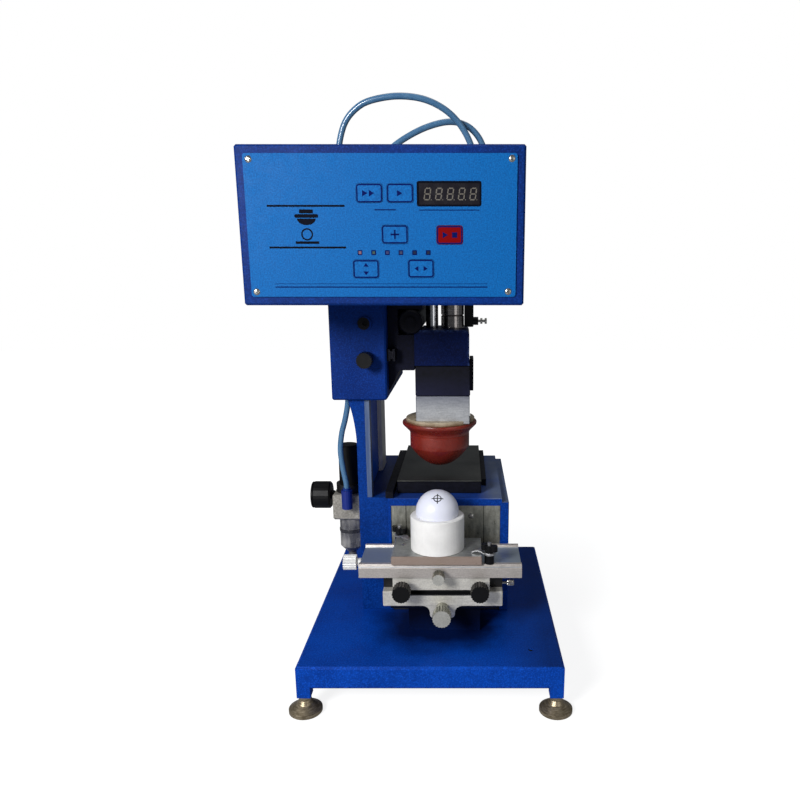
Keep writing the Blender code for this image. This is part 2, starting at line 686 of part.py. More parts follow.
front_plate = block("table_front_plate", BARE_ALUMINIUM,
                    (-TABLE_LEFT + TABLE_LEFT_WALL + CLEARANCE, plate_front, ground),
                    (TABLE_RIGHT - TABLE_POST - CLEARANCE, plate_front + FRONT_PLATE_THICKNESS,
                     deck_underside - CLEARANCE))
for seam in (-FRONT_PLATE_LEFT_SEAM, FRONT_PLATE_RIGHT_SEAM):
    cut(front_plate, block("front_plate_seam", None,
                           (seam, plate_front - OVERRUN, ground - OVERRUN),
                           (seam + FRONT_PLATE_SEAM, plate_front + FRONT_PLATE_SEAM,
                            deck_underside + OVERRUN)))

# Etched plate on its bed, located by a black frame of two side bars and a rear bar
deck = TABLE_TOP + CLEARANCE
frame_left = -PLATE_HALF_WIDTH - GUIDE_LEFT_GAP - GUIDE_LEFT_WIDTH
frame_right = PLATE_HALF_WIDTH + GUIDE_RIGHT_GAP + GUIDE_RIGHT_WIDTH
flat_outline("plate_frame", BLACK_OXIDE,
             [(frame_left, TABLE_FRONT), (frame_left + GUIDE_LEFT_WIDTH, TABLE_FRONT),
              (frame_left + GUIDE_LEFT_WIDTH, PLATE_BACK + CLEARANCE),
              (frame_right - GUIDE_RIGHT_WIDTH, PLATE_BACK + CLEARANCE),
              (frame_right - GUIDE_RIGHT_WIDTH, GUIDE_RIGHT_FRONT), (frame_right, GUIDE_RIGHT_FRONT),
              (frame_right, PLATE_BACK + CLEARANCE + GUIDE_CROSS),
              (frame_left, PLATE_BACK + CLEARANCE + GUIDE_CROSS)],
             deck, deck + GUIDE_HEIGHT, "XY")
bed_top = deck + PLATE_BED_HEIGHT
block("plate_bed", BLACK_OXIDE, (-PLATE_HALF_WIDTH, PLATE_FRONT, deck),
      (PLATE_HALF_WIDTH, PLATE_BACK, bed_top), EDGE)
plate_bottom = bed_top + CLEARANCE
block("cliche_plate", DARK_STEEL, (-PLATE_HALF_WIDTH, PLATE_FRONT, plate_bottom),
      (PLATE_HALF_WIDTH, PLATE_BACK, plate_bottom + PLATE_THICKNESS))

# Column: a block beside the table that narrows to a tall blade, flared below the head, with two raised ways
blade_right = -COLUMN_LEFT + BLADE_THICKNESS
flare = []
for i in range(FLARE_STEPS + 1):
    share = i / FLARE_STEPS
    flare.append((-COLUMN_LEFT - FLARE_REACH * share ** 2, FLARE_BOTTOM + (FLARE_TOP - FLARE_BOTTOM) * share))
column = flat_outline("column", BLUE_PAINT,
                      [(-COLUMN_LEFT, ground), (-COLUMN_LEFT + COLUMN_BLOCK_WIDTH, ground),
                       (-COLUMN_LEFT + COLUMN_BLOCK_WIDTH, TABLE_TOP), (blade_right, TABLE_TOP),
                       (blade_right, BLADE_TOP), (-COLUMN_LEFT - FLARE_REACH, BLADE_TOP)] + flare[::-1],
                      COLUMN_FRONT, COLUMN_BACK)
way_starts = (CLEARANCE, WAY_REAR_START)
for start, depth in zip(way_starts, (WAY_FRONT_DEPTH, WAY_REAR_DEPTH)):
    join(column, block("way", None, (blade_right - WAY_SINK, COLUMN_FRONT + start, TABLE_TOP - WAY_SINK),
                       (blade_right + WAY_WIDTH, COLUMN_FRONT + start + depth, BLADE_TOP - WAY_SINK)))

# Stand of the work table: a flanged pillar
stand_top = LOWER_BOTTOM - CLEARANCE
stand = block("table_stand", BLUE_PAINT, (-STAND_LEFT, STAND_FRONT, stand_top - STAND_FLANGE),
              (STAND_RIGHT, LOWER_BACK, stand_top))
join(stand, block("pillar", None, (-STAND_LEFT + PILLAR_INSET, STAND_FRONT + PILLAR_SET_BACK, ground),
                  (STAND_RIGHT - PILLAR_INSET, LOWER_BACK - CLEARANCE, stand_top - STAND_FLANGE / 2)))

# Lower slide: fixed block with a filleted tab in front that carries the feed screw
lower_top = LOWER_BOTTOM + LOWER_HEIGHT
lower = block("lower_slide", BARE_ALUMINIUM, (-LOWER_LEFT, LOWER_FRONT, LOWER_BOTTOM),
              (LOWER_RIGHT, LOWER_BACK, lower_top), EDGE)
tab_bottom = LOWER_BOTTOM - TAB_DROP
tab_edge = TAB_HALF_WIDTH - TAB_CORNER
tab_points = arc((TAB_CENTRE + TAB_HALF_WIDTH + TAB_FILLET, LOWER_BOTTOM - TAB_FILLET), TAB_FILLET, 90, 180,
                 4)
tab_points += arc((TAB_CENTRE + tab_edge, tab_bottom + TAB_CORNER), TAB_CORNER, 0, -90, 3)
tab_points += arc((TAB_CENTRE - tab_edge, tab_bottom + TAB_CORNER), TAB_CORNER, -90, -180, 3)
tab_points += arc((TAB_CENTRE - TAB_HALF_WIDTH - TAB_FILLET, LOWER_BOTTOM - TAB_FILLET), TAB_FILLET, 0, 90, 4)
tab_reach = TAB_HALF_WIDTH + TAB_FILLET
tab_points += [(TAB_CENTRE - tab_reach, LOWER_BOTTOM + OVERRUN),
               (TAB_CENTRE + tab_reach, LOWER_BOTTOM + OVERRUN)]
join(lower, flat_outline("tab", None, tab_points, LOWER_FRONT + EDGE, LOWER_FRONT + TAB_DEPTH))
cut(lower, block("lower_slot", None,
                 (-LOWER_LEFT + LOWER_SLOT_INSET, LOWER_FRONT - OVERRUN, lower_top - LOWER_SLOT_HEIGHT),
                 (LOWER_RIGHT - LOWER_SLOT_INSET, LOWER_FRONT + LOWER_SLOT_DEPTH, lower_top + OVERRUN)))

# Middle slide: its front part is narrower than its ends
middle_bottom = lower_top + CLEARANCE
middle_top = middle_bottom + MIDDLE_HEIGHT
flat_outline("middle_slide", BARE_ALUMINIUM,
             [(-MIDDLE_LEFT, MIDDLE_FRONT), (MIDDLE_RIGHT, MIDDLE_FRONT),
              (MIDDLE_RIGHT, MIDDLE_FRONT + MIDDLE_SHOULDER),
              (LOWER_RIGHT, MIDDLE_FRONT + MIDDLE_SHOULDER), (LOWER_RIGHT, LOWER_BACK),
              (-LOWER_LEFT, LOWER_BACK),
              (-LOWER_LEFT, MIDDLE_FRONT + MIDDLE_SHOULDER), (-MIDDLE_LEFT, MIDDLE_FRONT + MIDDLE_SHOULDER)],
             middle_bottom, middle_top, "XY")

# Top slide: a long plate with a clamping ridge along its front and its back
top_bottom = middle_top + CLEARANCE
ridge_base = top_bottom + TOP_PLATE_HEIGHT
ridge_top = ridge_base + TOP_RIDGE_HEIGHT
channel = top_bottom + TOP_CHANNEL_HEIGHT
front_ridge = [(TOP_FRONT, top_bottom), (TOP_FRONT, ridge_base), (TOP_FRONT + TOP_RIDGE_CHAMFER, ridge_top),
               (TOP_FRONT + TOP_RIDGE_CHAMFER + TOP_RIDGE_WIDTH, ridge_top),
               (TOP_FRONT + TOP_RIDGE_CHAMFER + TOP_RIDGE_WIDTH + TOP_RIDGE_SLOPE, channel)]
rear_ridge = [(TOP_FRONT + TOP_BACK - y, z) for y, z in front_ridge[::-1]]
flat_outline("top_slide", BARE_ALUMINIUM, front_ridge + rear_ridge, -TOP_LEFT, TOP_RIGHT, "YZ")

# Knobs of the cross table, each with its stem ending at the slide that it acts on
y_knob_face = LOWER_FRONT - CLEARANCE - Y_KNOB[1] - Y_KNOB[3]
knurled_knob("y_knob", BRIGHT_STEEL, Y_KNOB, (TAB_CENTRE, y_knob_face, Y_KNOB_HEIGHT), (0, -1, 0))
lock_face = MIDDLE_FRONT - CLEARANCE - LOCK_KNOB[1] - LOCK_KNOB[3]
knurled_knob("lock_knob_left", BLACK_PLASTIC, LOCK_KNOB, (-LOCK_KNOB_LEFT_X, lock_face, LOCK_KNOB_HEIGHT),
             (0, -1, 0))
knurled_knob("lock_knob_right", BLACK_PLASTIC, LOCK_KNOB, (LOCK_KNOB_RIGHT_X, lock_face, LOCK_KNOB_HEIGHT),
             (0, -1, 0))
clamp_knob_face = TOP_FRONT - CLEARANCE - TOP_CLAMP_KNOB[1] - TOP_CLAMP_KNOB[3]
knurled_knob("top_clamp_knob", BRIGHT_STEEL, TOP_CLAMP_KNOB, (TOP_CLAMP_X, clamp_knob_face, TOP_CLAMP_HEIGHT),
             (0, -1, 0))
x_knob_face = -TOP_LEFT - CLEARANCE - X_KNOB[1] - X_KNOB[3]
knurled_knob("x_knob", BRIGHT_STEEL, X_KNOB, (x_knob_face, X_KNOB_Y, X_KNOB_HEIGHT), (-1, 0, 0))

# Jig plate across the two ridges, with the nylon nest and the sample ball in its seat
jig_bottom = ridge_top + CLEARANCE
jig_top = jig_bottom + JIG_THICKNESS
block("jig_plate", BARE_ALUMINIUM, (-JIG_LEFT, JIG_FRONT, jig_bottom), (JIG_RIGHT, JIG_BACK, jig_top), EDGE)
nest_bottom = jig_top + CLEARANCE
nest_top = nest_bottom + NEST_HEIGHT
ball_centre = (0, NEST_Y, nest_top - BALL_SINK + BALL_RADIUS)
nest = turned("nest", WHITE_NYLON,
              [(0, nest_top), (NEST_RADIUS - EDGE, nest_top), (NEST_RADIUS, nest_top - EDGE),
               (NEST_RADIUS, nest_bottom), (0, nest_bottom)], (0, NEST_Y, 0), facets=FACETS_LARGE)


def sphere(name, finish, radius, centre):
    """A ball from its radius and its centre."""
    bpy.ops.mesh.primitive_uv_sphere_add(segments=FACETS_MEDIUM, ring_count=FACETS_SMALL, radius=radius,
                                         location=centre)
    bpy.context.object.data.shade_smooth()
    return adopt(bpy.context.object, name, finish)


cut(nest, sphere("nest_seat", None, BALL_RADIUS + CLEARANCE, ball_centre))
sphere("sample_ball", BALL_WHITE, BALL_RADIUS, ball_centre)


# Clamps: a foot on a ridge, a crowned strap that holds the jig plate, and a stud with a two-lobed nut
strap_bottom = jig_top + CLEARANCE
strap_top = strap_bottom + CLAMP_STRAP_THICKNESS
nut_bottom = strap_top + CLEARANCE
nut_top = nut_bottom + NUT_HEIGHT
arch = [CLAMP_FOOT_RADIUS + (CLAMP_STRAP_REACH - CLAMP_FOOT_RADIUS) * i / CLAMP_STRAP_STEPS
        for i in range(CLAMP_STRAP_STEPS + 1)]
crown = [CLAMP_STRAP_CROWN * math.sin(math.pi * i / CLAMP_STRAP_STEPS) for i in range(CLAMP_STRAP_STEPS + 1)]
for side, x, y, turn in (("left", -CLAMP_LEFT_X, CLAMP_LEFT_Y, CLAMP_LEFT_TURN),
                         ("right", CLAMP_RIGHT_X, CLAMP_RIGHT_Y, CLAMP_RIGHT_TURN)):
    underside = [(-CLAMP_STRAP_TAIL, strap_bottom)] + [(u, strap_bottom + z) for u, z in zip(arch, crown)]
    topside = [(u, z + CLAMP_STRAP_THICKNESS) for u, z in underside[::-1]]
    strap = flat_outline("clamp_" + side, BRIGHT_STEEL, underside + topside,
                         -CLAMP_STRAP_WIDTH / 2, CLAMP_STRAP_WIDTH / 2)
    strap.data.transform(strap.matrix_basis)
    strap.matrix_basis.identity()
    foot_and_stud = [rod("clamp_foot_" + side, None, CLAMP_FOOT_RADIUS, (0, 0, jig_bottom),
                         (0, 0, strap_bottom + CLAMP_STRAP_THICKNESS / 2), FACETS_SMALL),
                     rod("clamp_stud_" + side, None, CLAMP_STUD, (0, 0, strap_bottom),
                         (0, 0, nut_top + CLAMP_STUD_PROUD), FACETS_SMALL)]
    for tool in foot_and_stud:
        join(strap, tool)
        tool.parent = strap
    strap.location = (x, y, 0)
    strap.rotation_euler = (0, 0, turn)

    nut = turned("thumb_nut_" + side, BLACK_PLASTIC,
                 [(0, nut_top), (NUT_HUB, nut_top), (NUT_HUB, nut_bottom), (0, nut_bottom)], (0, 0, 0),
                 facets=FACETS_SMALL)
    for lobe_side in (-1, 1):
        lobe = rod("lobe", None, NUT_LOBE, (lobe_side * NUT_LOBE_OFFSET, 0, nut_bottom + CLAMP_STRAP_CROWN),
                   (lobe_side * NUT_LOBE_OFFSET, 0, nut_top + EDGE), FACETS_SMALL)
        join(nut, lobe)
        lobe.parent = nut
    bore = rod("nut_bore", None, CLAMP_STUD + CLEARANCE, (0, 0, nut_bottom - OVERRUN),
               (0, 0, nut_top + OVERRUN),
               FACETS_SMALL)
    cut(nut, bore)
    bore.parent = nut
    nut.location = (x, y, 0)
    nut.rotation_euler = (0, 0, NUT_TURN)

# Head housing: a cast hood over the blade, open below, with a channel in front that carries the control box
housing = block("head_housing", BLUE_PAINT, (-HOUSING_LEFT, HOUSING_FRONT, HOUSING_BOTTOM),
                (-HOUSING_RIGHT, HOUSING_BACK, HOUSING_TOP), SOFT_EDGE)
bracket_left = -HOUSING_LEFT + BRACKET_INSET
bracket_right = -HOUSING_RIGHT - BRACKET_RIGHT_INSET
join(housing, block("box_bracket", None, (bracket_left, BOX_BACK + CLEARANCE, BRACKET_BOTTOM),
                    (bracket_right, HOUSING_FRONT + BRACKET_SINK, HOUSING_TOP - BRACKET_INSET)))
cut(housing, block("box_bracket_hollow", None,
                   (bracket_left + BRACKET_WALL, BOX_BACK + CLEARANCE + BRACKET_WALL,
                    BRACKET_BOTTOM - OVERRUN),
                   (bracket_right - BRACKET_WALL, HOUSING_FRONT - BRACKET_SINK,
                    HOUSING_TOP - BRACKET_INSET - BRACKET_WALL)))
cut(housing, block("housing_hollow", None,
                   (-HOUSING_LEFT + HOUSING_WALL, HOUSING_FRONT + HOUSING_WALL, HOUSING_BOTTOM - OVERRUN),
                   (-HOUSING_RIGHT - HOUSING_WALL, HOUSING_BACK - HOUSING_WALL, HOUSING_TOP - HOUSING_WALL)))
head_lock_face = COLUMN_FRONT - HEAD_LOCK_KNOB[1] - HEAD_LOCK_KNOB[3]
cut(housing, rod("lock_hole", None, HEAD_LOCK_KNOB[2] + CLEARANCE,
                 (-HEAD_LOCK_X, HOUSING_FRONT - OVERRUN, HEAD_LOCK_HEIGHT),
                 (-HEAD_LOCK_X, HOUSING_FRONT + HOUSING_WALL + OVERRUN, HEAD_LOCK_HEIGHT), FACETS_SMALL))
knurled_knob("head_lock_knob", BLACK_PLASTIC, HEAD_LOCK_KNOB,
             (-HEAD_LOCK_X, head_lock_face, HEAD_LOCK_HEIGHT),
             (0, -1, 0))
join(housing, rod("head_screw", None, HEAD_SCREW_RADIUS,
                  (-HEAD_LOCK_X, HOUSING_FRONT - HEAD_SCREW_PROUD, HEAD_SCREW_HEIGHT),
                  (-HEAD_LOCK_X, HOUSING_FRONT + BRACKET_SINK, HEAD_SCREW_HEIGHT)))
cut(housing, rod("head_screw_socket", None, HEAD_SCREW_SOCKET,
                 (-HEAD_LOCK_X, HOUSING_FRONT - HEAD_SCREW_PROUD - OVERRUN, HEAD_SCREW_HEIGHT),
                 (-HEAD_LOCK_X, HOUSING_FRONT, HEAD_SCREW_HEIGHT), 6))
supply_x, supply_y = SUPPLY_ROUTE[-1][0], SUPPLY_ROUTE[-1][1]
cut(housing, rod("supply_hole", None, SUPPLY_PORT_RADIUS + CLEARANCE,
                 (supply_x, supply_y, HOUSING_TOP - HOUSING_WALL - OVERRUN),
                 (supply_x, supply_y, HOUSING_TOP + OVERRUN), FACETS_SMALL))

# Control box: a sheet steel shell open at the back, with a window behind the membrane panel
box = block("control_box", BLUE_PAINT, (-BOX_LEFT, BOX_FRONT, BOX_BOTTOM), (BOX_RIGHT, BOX_BACK, BOX_TOP),
            SOFT_EDGE)
cut(box, block("box_hollow", None, (-BOX_LEFT + BOX_SHEET, BOX_FRONT + BOX_SHEET, BOX_BOTTOM + BOX_SHEET),
               (BOX_RIGHT - BOX_SHEET, BOX_BACK + OVERRUN, BOX_TOP - BOX_SHEET)))
cut(box, block("box_window", None,
               (-BOX_LEFT + BOX_WINDOW_INSET, BOX_FRONT - OVERRUN, BOX_BOTTOM + BOX_WINDOW_INSET),
               (BOX_RIGHT - BOX_WINDOW_INSET, BOX_FRONT + BOX_SHEET + OVERRUN, BOX_TOP - BOX_WINDOW_INSET)))
cover_gap = BOX_SHEET + CLEARANCE
cover = block("box_back_cover", BLUE_PAINT,
              (-BOX_LEFT + cover_gap, BOX_BACK - BOX_SHEET, BOX_BOTTOM + cover_gap),
              (BOX_RIGHT - cover_gap, BOX_BACK, BOX_TOP - cover_gap))
join(cover, rod("gland_nut", None, GLAND_RADIUS, (-GLAND_X, BOX_BACK - BOX_SHEET / 2, GLAND_HEIGHT),
                (-GLAND_X, BOX_BACK + GLAND_LENGTH / 2, GLAND_HEIGHT), 6))
join(cover, rod("gland_dome", None, GLAND_RADIUS * 0.8, (-GLAND_X, BOX_BACK, GLAND_HEIGHT),
                (-GLAND_X, BOX_BACK + GLAND_LENGTH, GLAND_HEIGHT), FACETS_SMALL, GLAND_RADIUS * 0.6))
switch_low = (-SWITCH_X - SWITCH_WIDTH / 2, BOX_BACK + SWITCH_PROUD - SWITCH_DEPTH,
              SWITCH_HEIGHT - SWITCH_TALL / 2)
switch_high = (-SWITCH_X + SWITCH_WIDTH / 2, BOX_BACK + SWITCH_PROUD, SWITCH_HEIGHT + SWITCH_TALL / 2)
block("power_switch", BLACK_PLASTIC, switch_low, switch_high, EDGE).rotation_euler[0] = -SWITCH_TILT
switch_swing = math.hypot(SWITCH_TALL / 2, SWITCH_DEPTH / 2) + CLEARANCE
cut(cover, block("switch_hole", None,
                 (switch_low[0] - CLEARANCE, BOX_BACK - BOX_SHEET - OVERRUN, SWITCH_HEIGHT - switch_swing),
                 (switch_high[0] + CLEARANCE, BOX_BACK + OVERRUN, SWITCH_HEIGHT + switch_swing)))

# Membrane panel with its six keys and the display window, all let into holes
panel_back = BOX_FRONT - CLEARANCE
panel_front = panel_back - PANEL_THICKNESS
panel_centre = ((BOX_RIGHT - BOX_LEFT) / 2, (BOX_TOP + BOX_BOTTOM) / 2)
panel_size = (BOX_RIGHT + BOX_LEFT - 2 * BOX_RIM, BOX_TOP - BOX_BOTTOM - 2 * BOX_RIM)
panel = flat_outline("front_panel", PANEL_BLUE, rounded_rectangle(panel_centre, *panel_size, PANEL_CORNER),
                     panel_front, panel_back)
for key, centre in KEY_CENTRES.items():
    finish = RED_KEY if key == "key_start_stop" else PANEL_BLUE
    flat_outline(key, finish, rounded_rectangle(centre, KEY_WIDTH, KEY_HEIGHT, KEY_CORNER),
                 panel_front - KEY_PROUD, panel_front - KEY_PROUD + KEY_DEPTH)
    cut(panel, flat_outline(key + "_hole", None,
                            rounded_rectangle(centre, KEY_WIDTH + 2 * CLEARANCE, KEY_HEIGHT + 2 * CLEARANCE,
                                              KEY_CORNER + CLEARANCE), panel_front - OVERRUN,
                                              panel_back + OVERRUN))
display_front = panel_front + DISPLAY_SET_BACK
display_low = (DISPLAY_X - DISPLAY_WIDTH / 2, display_front, DISPLAY_HEIGHT - DISPLAY_TALL / 2)
display_high = (DISPLAY_X + DISPLAY_WIDTH / 2, display_front + DISPLAY_THICKNESS,
                DISPLAY_HEIGHT + DISPLAY_TALL / 2)
block("display_window", DISPLAY_GLASS, display_low, display_high)
cut(panel, block("display_hole", None,
                 (display_low[0] - CLEARANCE, panel_front - OVERRUN, display_low[2] - CLEARANCE),
                 (display_high[0] + CLEARANCE, panel_back + OVERRUN, display_high[2] + CLEARANCE)))

# Horizontal slide: a waisted rail on the housing, and an arm whose channel wraps round it and whose
# hood reaches over the travel cylinder
rail_left = -HOUSING_RIGHT + CLEARANCE
rail_right = rail_left + RAIL_THICKNESS
rail_half = RAIL_HEIGHT / 2
waist_half = rail_half - RAIL_GROOVE
waist_left, waist_right = rail_left + RAIL_BASE, rail_right - RAIL_HEAD
flat_outline("slide_rail", BRIGHT_STEEL,
             [(rail_left, RAIL_CENTRE - rail_half), (waist_left, RAIL_CENTRE - rail_half),
              (waist_left, RAIL_CENTRE - waist_half), (waist_right, RAIL_CENTRE - waist_half),
              (waist_right, RAIL_CENTRE - rail_half), (rail_right, RAIL_CENTRE - rail_half),
              (rail_right, RAIL_CENTRE + rail_half), (waist_right, RAIL_CENTRE + rail_half),
              (waist_right, RAIL_CENTRE + waist_half), (waist_left, RAIL_CENTRE + waist_half),
              (waist_left, RAIL_CENTRE + rail_half), (rail_left, RAIL_CENTRE + rail_half)],
             RAIL_FRONT, RAIL_BACK)
arm_left = -HOUSING_RIGHT + ARM_WALL_GAP
lip_left = waist_left + CLEARANCE
lip_right = waist_right - CLEARANCE
head_half = rail_half + CLEARANCE
neck_half = waist_half + CLEARANCE
channel_right = rail_right + CLEARANCE
hood_left = -TRAVEL_CYLINDER_X - TRAVEL_CYLINDER_RADIUS - CLEARANCE
hood_right = -TRAVEL_CYLINDER_X + TRAVEL_CYLINDER_RADIUS
hood_bottom = TRAVEL_CYLINDER_HEIGHT + TRAVEL_CYLINDER_RADIUS + CLEARANCE
flat_outline("slide_arm", BLACK_OXIDE,
             [(arm_left, ARM_BOTTOM - ARM_LIP_DROP),
              (arm_left + ARM_LIP_KNEE, ARM_BOTTOM - ARM_LIP_DROP + ARM_LIP_KNEE_RISE),
              (arm_left + ARM_LIP_WIDTH, ARM_BOTTOM), (-ARM_RIGHT, ARM_BOTTOM), (-ARM_RIGHT, ARM_TOP),
              (hood_left, ARM_TOP), (hood_left, hood_bottom), (hood_right, hood_bottom),
              (hood_right, hood_bottom + ARM_HOOD_THICKNESS),
              (arm_left, hood_bottom + ARM_HOOD_THICKNESS),
              (arm_left, RAIL_CENTRE + head_half), (lip_left, RAIL_CENTRE + head_half),
              (lip_left, RAIL_CENTRE + neck_half), (lip_right, RAIL_CENTRE + neck_half),
              (lip_right, RAIL_CENTRE + head_half), (channel_right, RAIL_CENTRE + head_half),
              (channel_right, RAIL_CENTRE - head_half), (lip_right, RAIL_CENTRE - head_half),
              (lip_right, RAIL_CENTRE - neck_half), (lip_left, RAIL_CENTRE - neck_half),
              (lip_left, RAIL_CENTRE - head_half), (arm_left, RAIL_CENTRE - head_half)],
             ARM_FRONT, ARM_BACK)

# Travel cylinder on the arm; its rod is anchored at the back of the housing and stays still
nut_face = TRAVEL_CYLINDER_FRONT - TRAVEL_NUT_LENGTH
barrel = TRAVEL_CYLINDER_RADIUS
turned("travel_cylinder", BLACK_OXIDE,
       [(0, -nut_face), (TRAVEL_NUT_RADIUS, -nut_face), (TRAVEL_NUT_RADIUS, -TRAVEL_CYLINDER_FRONT),
        (barrel - SOFT_EDGE, -TRAVEL_CYLINDER_FRONT), (barrel, -TRAVEL_CYLINDER_FRONT - SOFT_EDGE),
        (barrel, -TRAVEL_CYLINDER_BACK + SOFT_EDGE), (barrel - SOFT_EDGE, -TRAVEL_CYLINDER_BACK),
        (TRAVEL_ROD_RADIUS + CLEARANCE, -TRAVEL_CYLINDER_BACK),
        (TRAVEL_ROD_RADIUS + CLEARANCE, -TRAVEL_ROD_TIP + EDGE), (0, -TRAVEL_ROD_TIP + EDGE)],
       (-TRAVEL_CYLINDER_X, 0, TRAVEL_CYLINDER_HEIGHT), (0, -1, 0))
travel_rod = rod("travel_rod", BRIGHT_STEEL, TRAVEL_ROD_RADIUS,
                 (-TRAVEL_CYLINDER_X, TRAVEL_ROD_TIP, TRAVEL_CYLINDER_HEIGHT),
                 (-TRAVEL_CYLINDER_X, LUG_FRONT + LUG_THICKNESS / 2, TRAVEL_CYLINDER_HEIGHT), FACETS_SMALL)
join(travel_rod, block("rod_lug", None, (rail_left, LUG_FRONT, TRAVEL_CYLINDER_HEIGHT - LUG_HEIGHT / 2),
                       (-LUG_RIGHT, LUG_FRONT + LUG_THICKNESS, TRAVEL_CYLINDER_HEIGHT + LUG_HEIGHT / 2),
                       EDGE))

# Pad bracket on the arm's end, notched for the travel cylinder and bored for the two rods
bracket_points = [(-PAD_BRACKET_LEFT, PAD_BRACKET_BOTTOM), (PAD_BRACKET_RIGHT, PAD_BRACKET_BOTTOM)]
bracket_points += arc((PAD_BRACKET_RIGHT - PAD_BRACKET_CORNER, PAD_BRACKET_TOP - PAD_BRACKET_CORNER),
                      PAD_BRACKET_CORNER, 0, 90, 5)
bracket_points.append((-PAD_BRACKET_LEFT, PAD_BRACKET_TOP))
bracket = flat_outline("pad_bracket", BLUE_PAINT, bracket_points, PAD_BRACKET_FRONT, PAD_BRACKET_BACK)
cut(bracket, rod("cylinder_notch", None, TRAVEL_CYLINDER_RADIUS + CLEARANCE,
                 (-TRAVEL_CYLINDER_X, PAD_BRACKET_FRONT - OVERRUN, TRAVEL_CYLINDER_HEIGHT),
                 (-TRAVEL_CYLINDER_X, PAD_BRACKET_BACK + OVERRUN, TRAVEL_CYLINDER_HEIGHT)))
bores = (("guide_bore", -GUIDE_ROD_X, GUIDE_ROD_RADIUS), ("piston_bore", PAD_CYLINDER_X, PISTON_ROD_RADIUS))
for name, x, radius in bores:
    cut(bracket, rod(name, None, radius + CLEARANCE, (x, PAD_Y, PAD_BRACKET_BOTTOM - OVERRUN),
                     (x, PAD_Y, PAD_BRACKET_TOP + OVERRUN)))

# Pad cylinder standing on the bracket, with a rolled groove near each end and an elbow port on top
cylinder_bottom = PAD_BRACKET_TOP + CLEARANCE
tube = PAD_CYLINDER_RADIUS
neck = PAD_CYLINDER_RADIUS - PAD_CYLINDER_CAP_STEP
cap = PAD_CYLINDER_CAP
bore_radius = PISTON_ROD_RADIUS + CLEARANCE
bore_top = PISTON_ROD_TOP + OVERRUN
pad_cylinder = turned("pad_cylinder", BRIGHT_STEEL,
                      [(0, PAD_CYLINDER_TOP), (tube - EDGE, PAD_CYLINDER_TOP),
                       (tube, PAD_CYLINDER_TOP - EDGE),
                       (tube, PAD_CYLINDER_TOP - cap), (neck, PAD_CYLINDER_TOP - cap - EDGE),
                       (tube, PAD_CYLINDER_TOP - cap - 2 * EDGE), (tube, cylinder_bottom + cap + 2 * EDGE),
                       (neck, cylinder_bottom + cap + EDGE), (tube, cylinder_bottom + cap),
                       (tube, cylinder_bottom), (bore_radius, cylinder_bottom), (bore_radius, bore_top),
                       (0, bore_top)],
                      (PAD_CYLINDER_X, PAD_Y, 0))
port_x, port_y = HOSE_B_ROUTE[-1][0], HOSE_B_ROUTE[-1][1]
port_top = HOSE_B_ROUTE[-1][2] - CLEARANCE
port_height = PAD_CYLINDER_TOP - cap / 2
join(pad_cylinder,
     rod("port_arm", None, PORT_RADIUS, (PAD_CYLINDER_X, PAD_Y, port_height), (port_x, port_y, port_height),
                       FACETS_SMALL))
join(pad_cylinder, rod("port_riser", None, PORT_COLLAR, (port_x, port_y, port_height - PORT_RADIUS - EDGE),
                       (port_x, port_y, port_top), FACETS_SMALL))

# Flow control valve beside the cylinder's foot, with its adjusting screw
valve_left = PAD_CYLINDER_X + PAD_CYLINDER_RADIUS + CLEARANCE
valve_port_x = HOSE_A_ROUTE[-1][0]
valve_low = (valve_left, PAD_Y - VALVE_DEPTH / 2, VALVE_BOTTOM)
valve_high = (VALVE_RIGHT, PAD_Y + VALVE_DEPTH / 2, VALVE_TOP - PORT_COLLAR_HEIGHT)
valve = block("flow_valve", BLACK_PLASTIC, valve_low, valve_high, EDGE)
join(valve, rod("valve_collar", None, PORT_RADIUS, (valve_port_x, PAD_Y, VALVE_TOP - 2 * PORT_COLLAR_HEIGHT),
                (valve_port_x, PAD_Y, VALVE_TOP), FACETS_SMALL))
boss_end = VALVE_RIGHT + VALVE_BOSS_LENGTH
join(valve, rod("valve_boss", None, VALVE_BOSS_RADIUS, (VALVE_RIGHT - EDGE, PAD_Y, VALVE_SCREW_HEIGHT),
                (boss_end, PAD_Y, VALVE_SCREW_HEIGHT), FACETS_SMALL))
cut(valve,
    rod("valve_thread", None, VALVE_SCREW_RADIUS + CLEARANCE,
        (boss_end - VALVE_BOSS_LENGTH, PAD_Y, VALVE_SCREW_HEIGHT),
               (boss_end + OVERRUN, PAD_Y, VALVE_SCREW_HEIGHT), FACETS_SMALL))
screw_end = boss_end + VALVE_SCREW_LENGTH
turned("flow_screw", BRIGHT_STEEL,
       [(0, screw_end), (VALVE_NUT_RADIUS, screw_end), (VALVE_NUT_RADIUS, screw_end - VALVE_NUT_LENGTH),
        (VALVE_SCREW_RADIUS, screw_end - VALVE_NUT_LENGTH),
        (VALVE_SCREW_RADIUS, boss_end + 2 * VALVE_NUT_LENGTH),
        (VALVE_NUT_RADIUS, boss_end + 2 * VALVE_NUT_LENGTH), (VALVE_NUT_RADIUS, boss_end + VALVE_NUT_LENGTH),
        (VALVE_SCREW_RADIUS, boss_end + VALVE_NUT_LENGTH),
        (VALVE_SCREW_RADIUS, boss_end - VALVE_BOSS_LENGTH + EDGE),
        (0, boss_end - VALVE_BOSS_LENGTH + EDGE)], (0, PAD_Y, VALVE_SCREW_HEIGHT), (1, 0, 0), FACETS_SMALL)

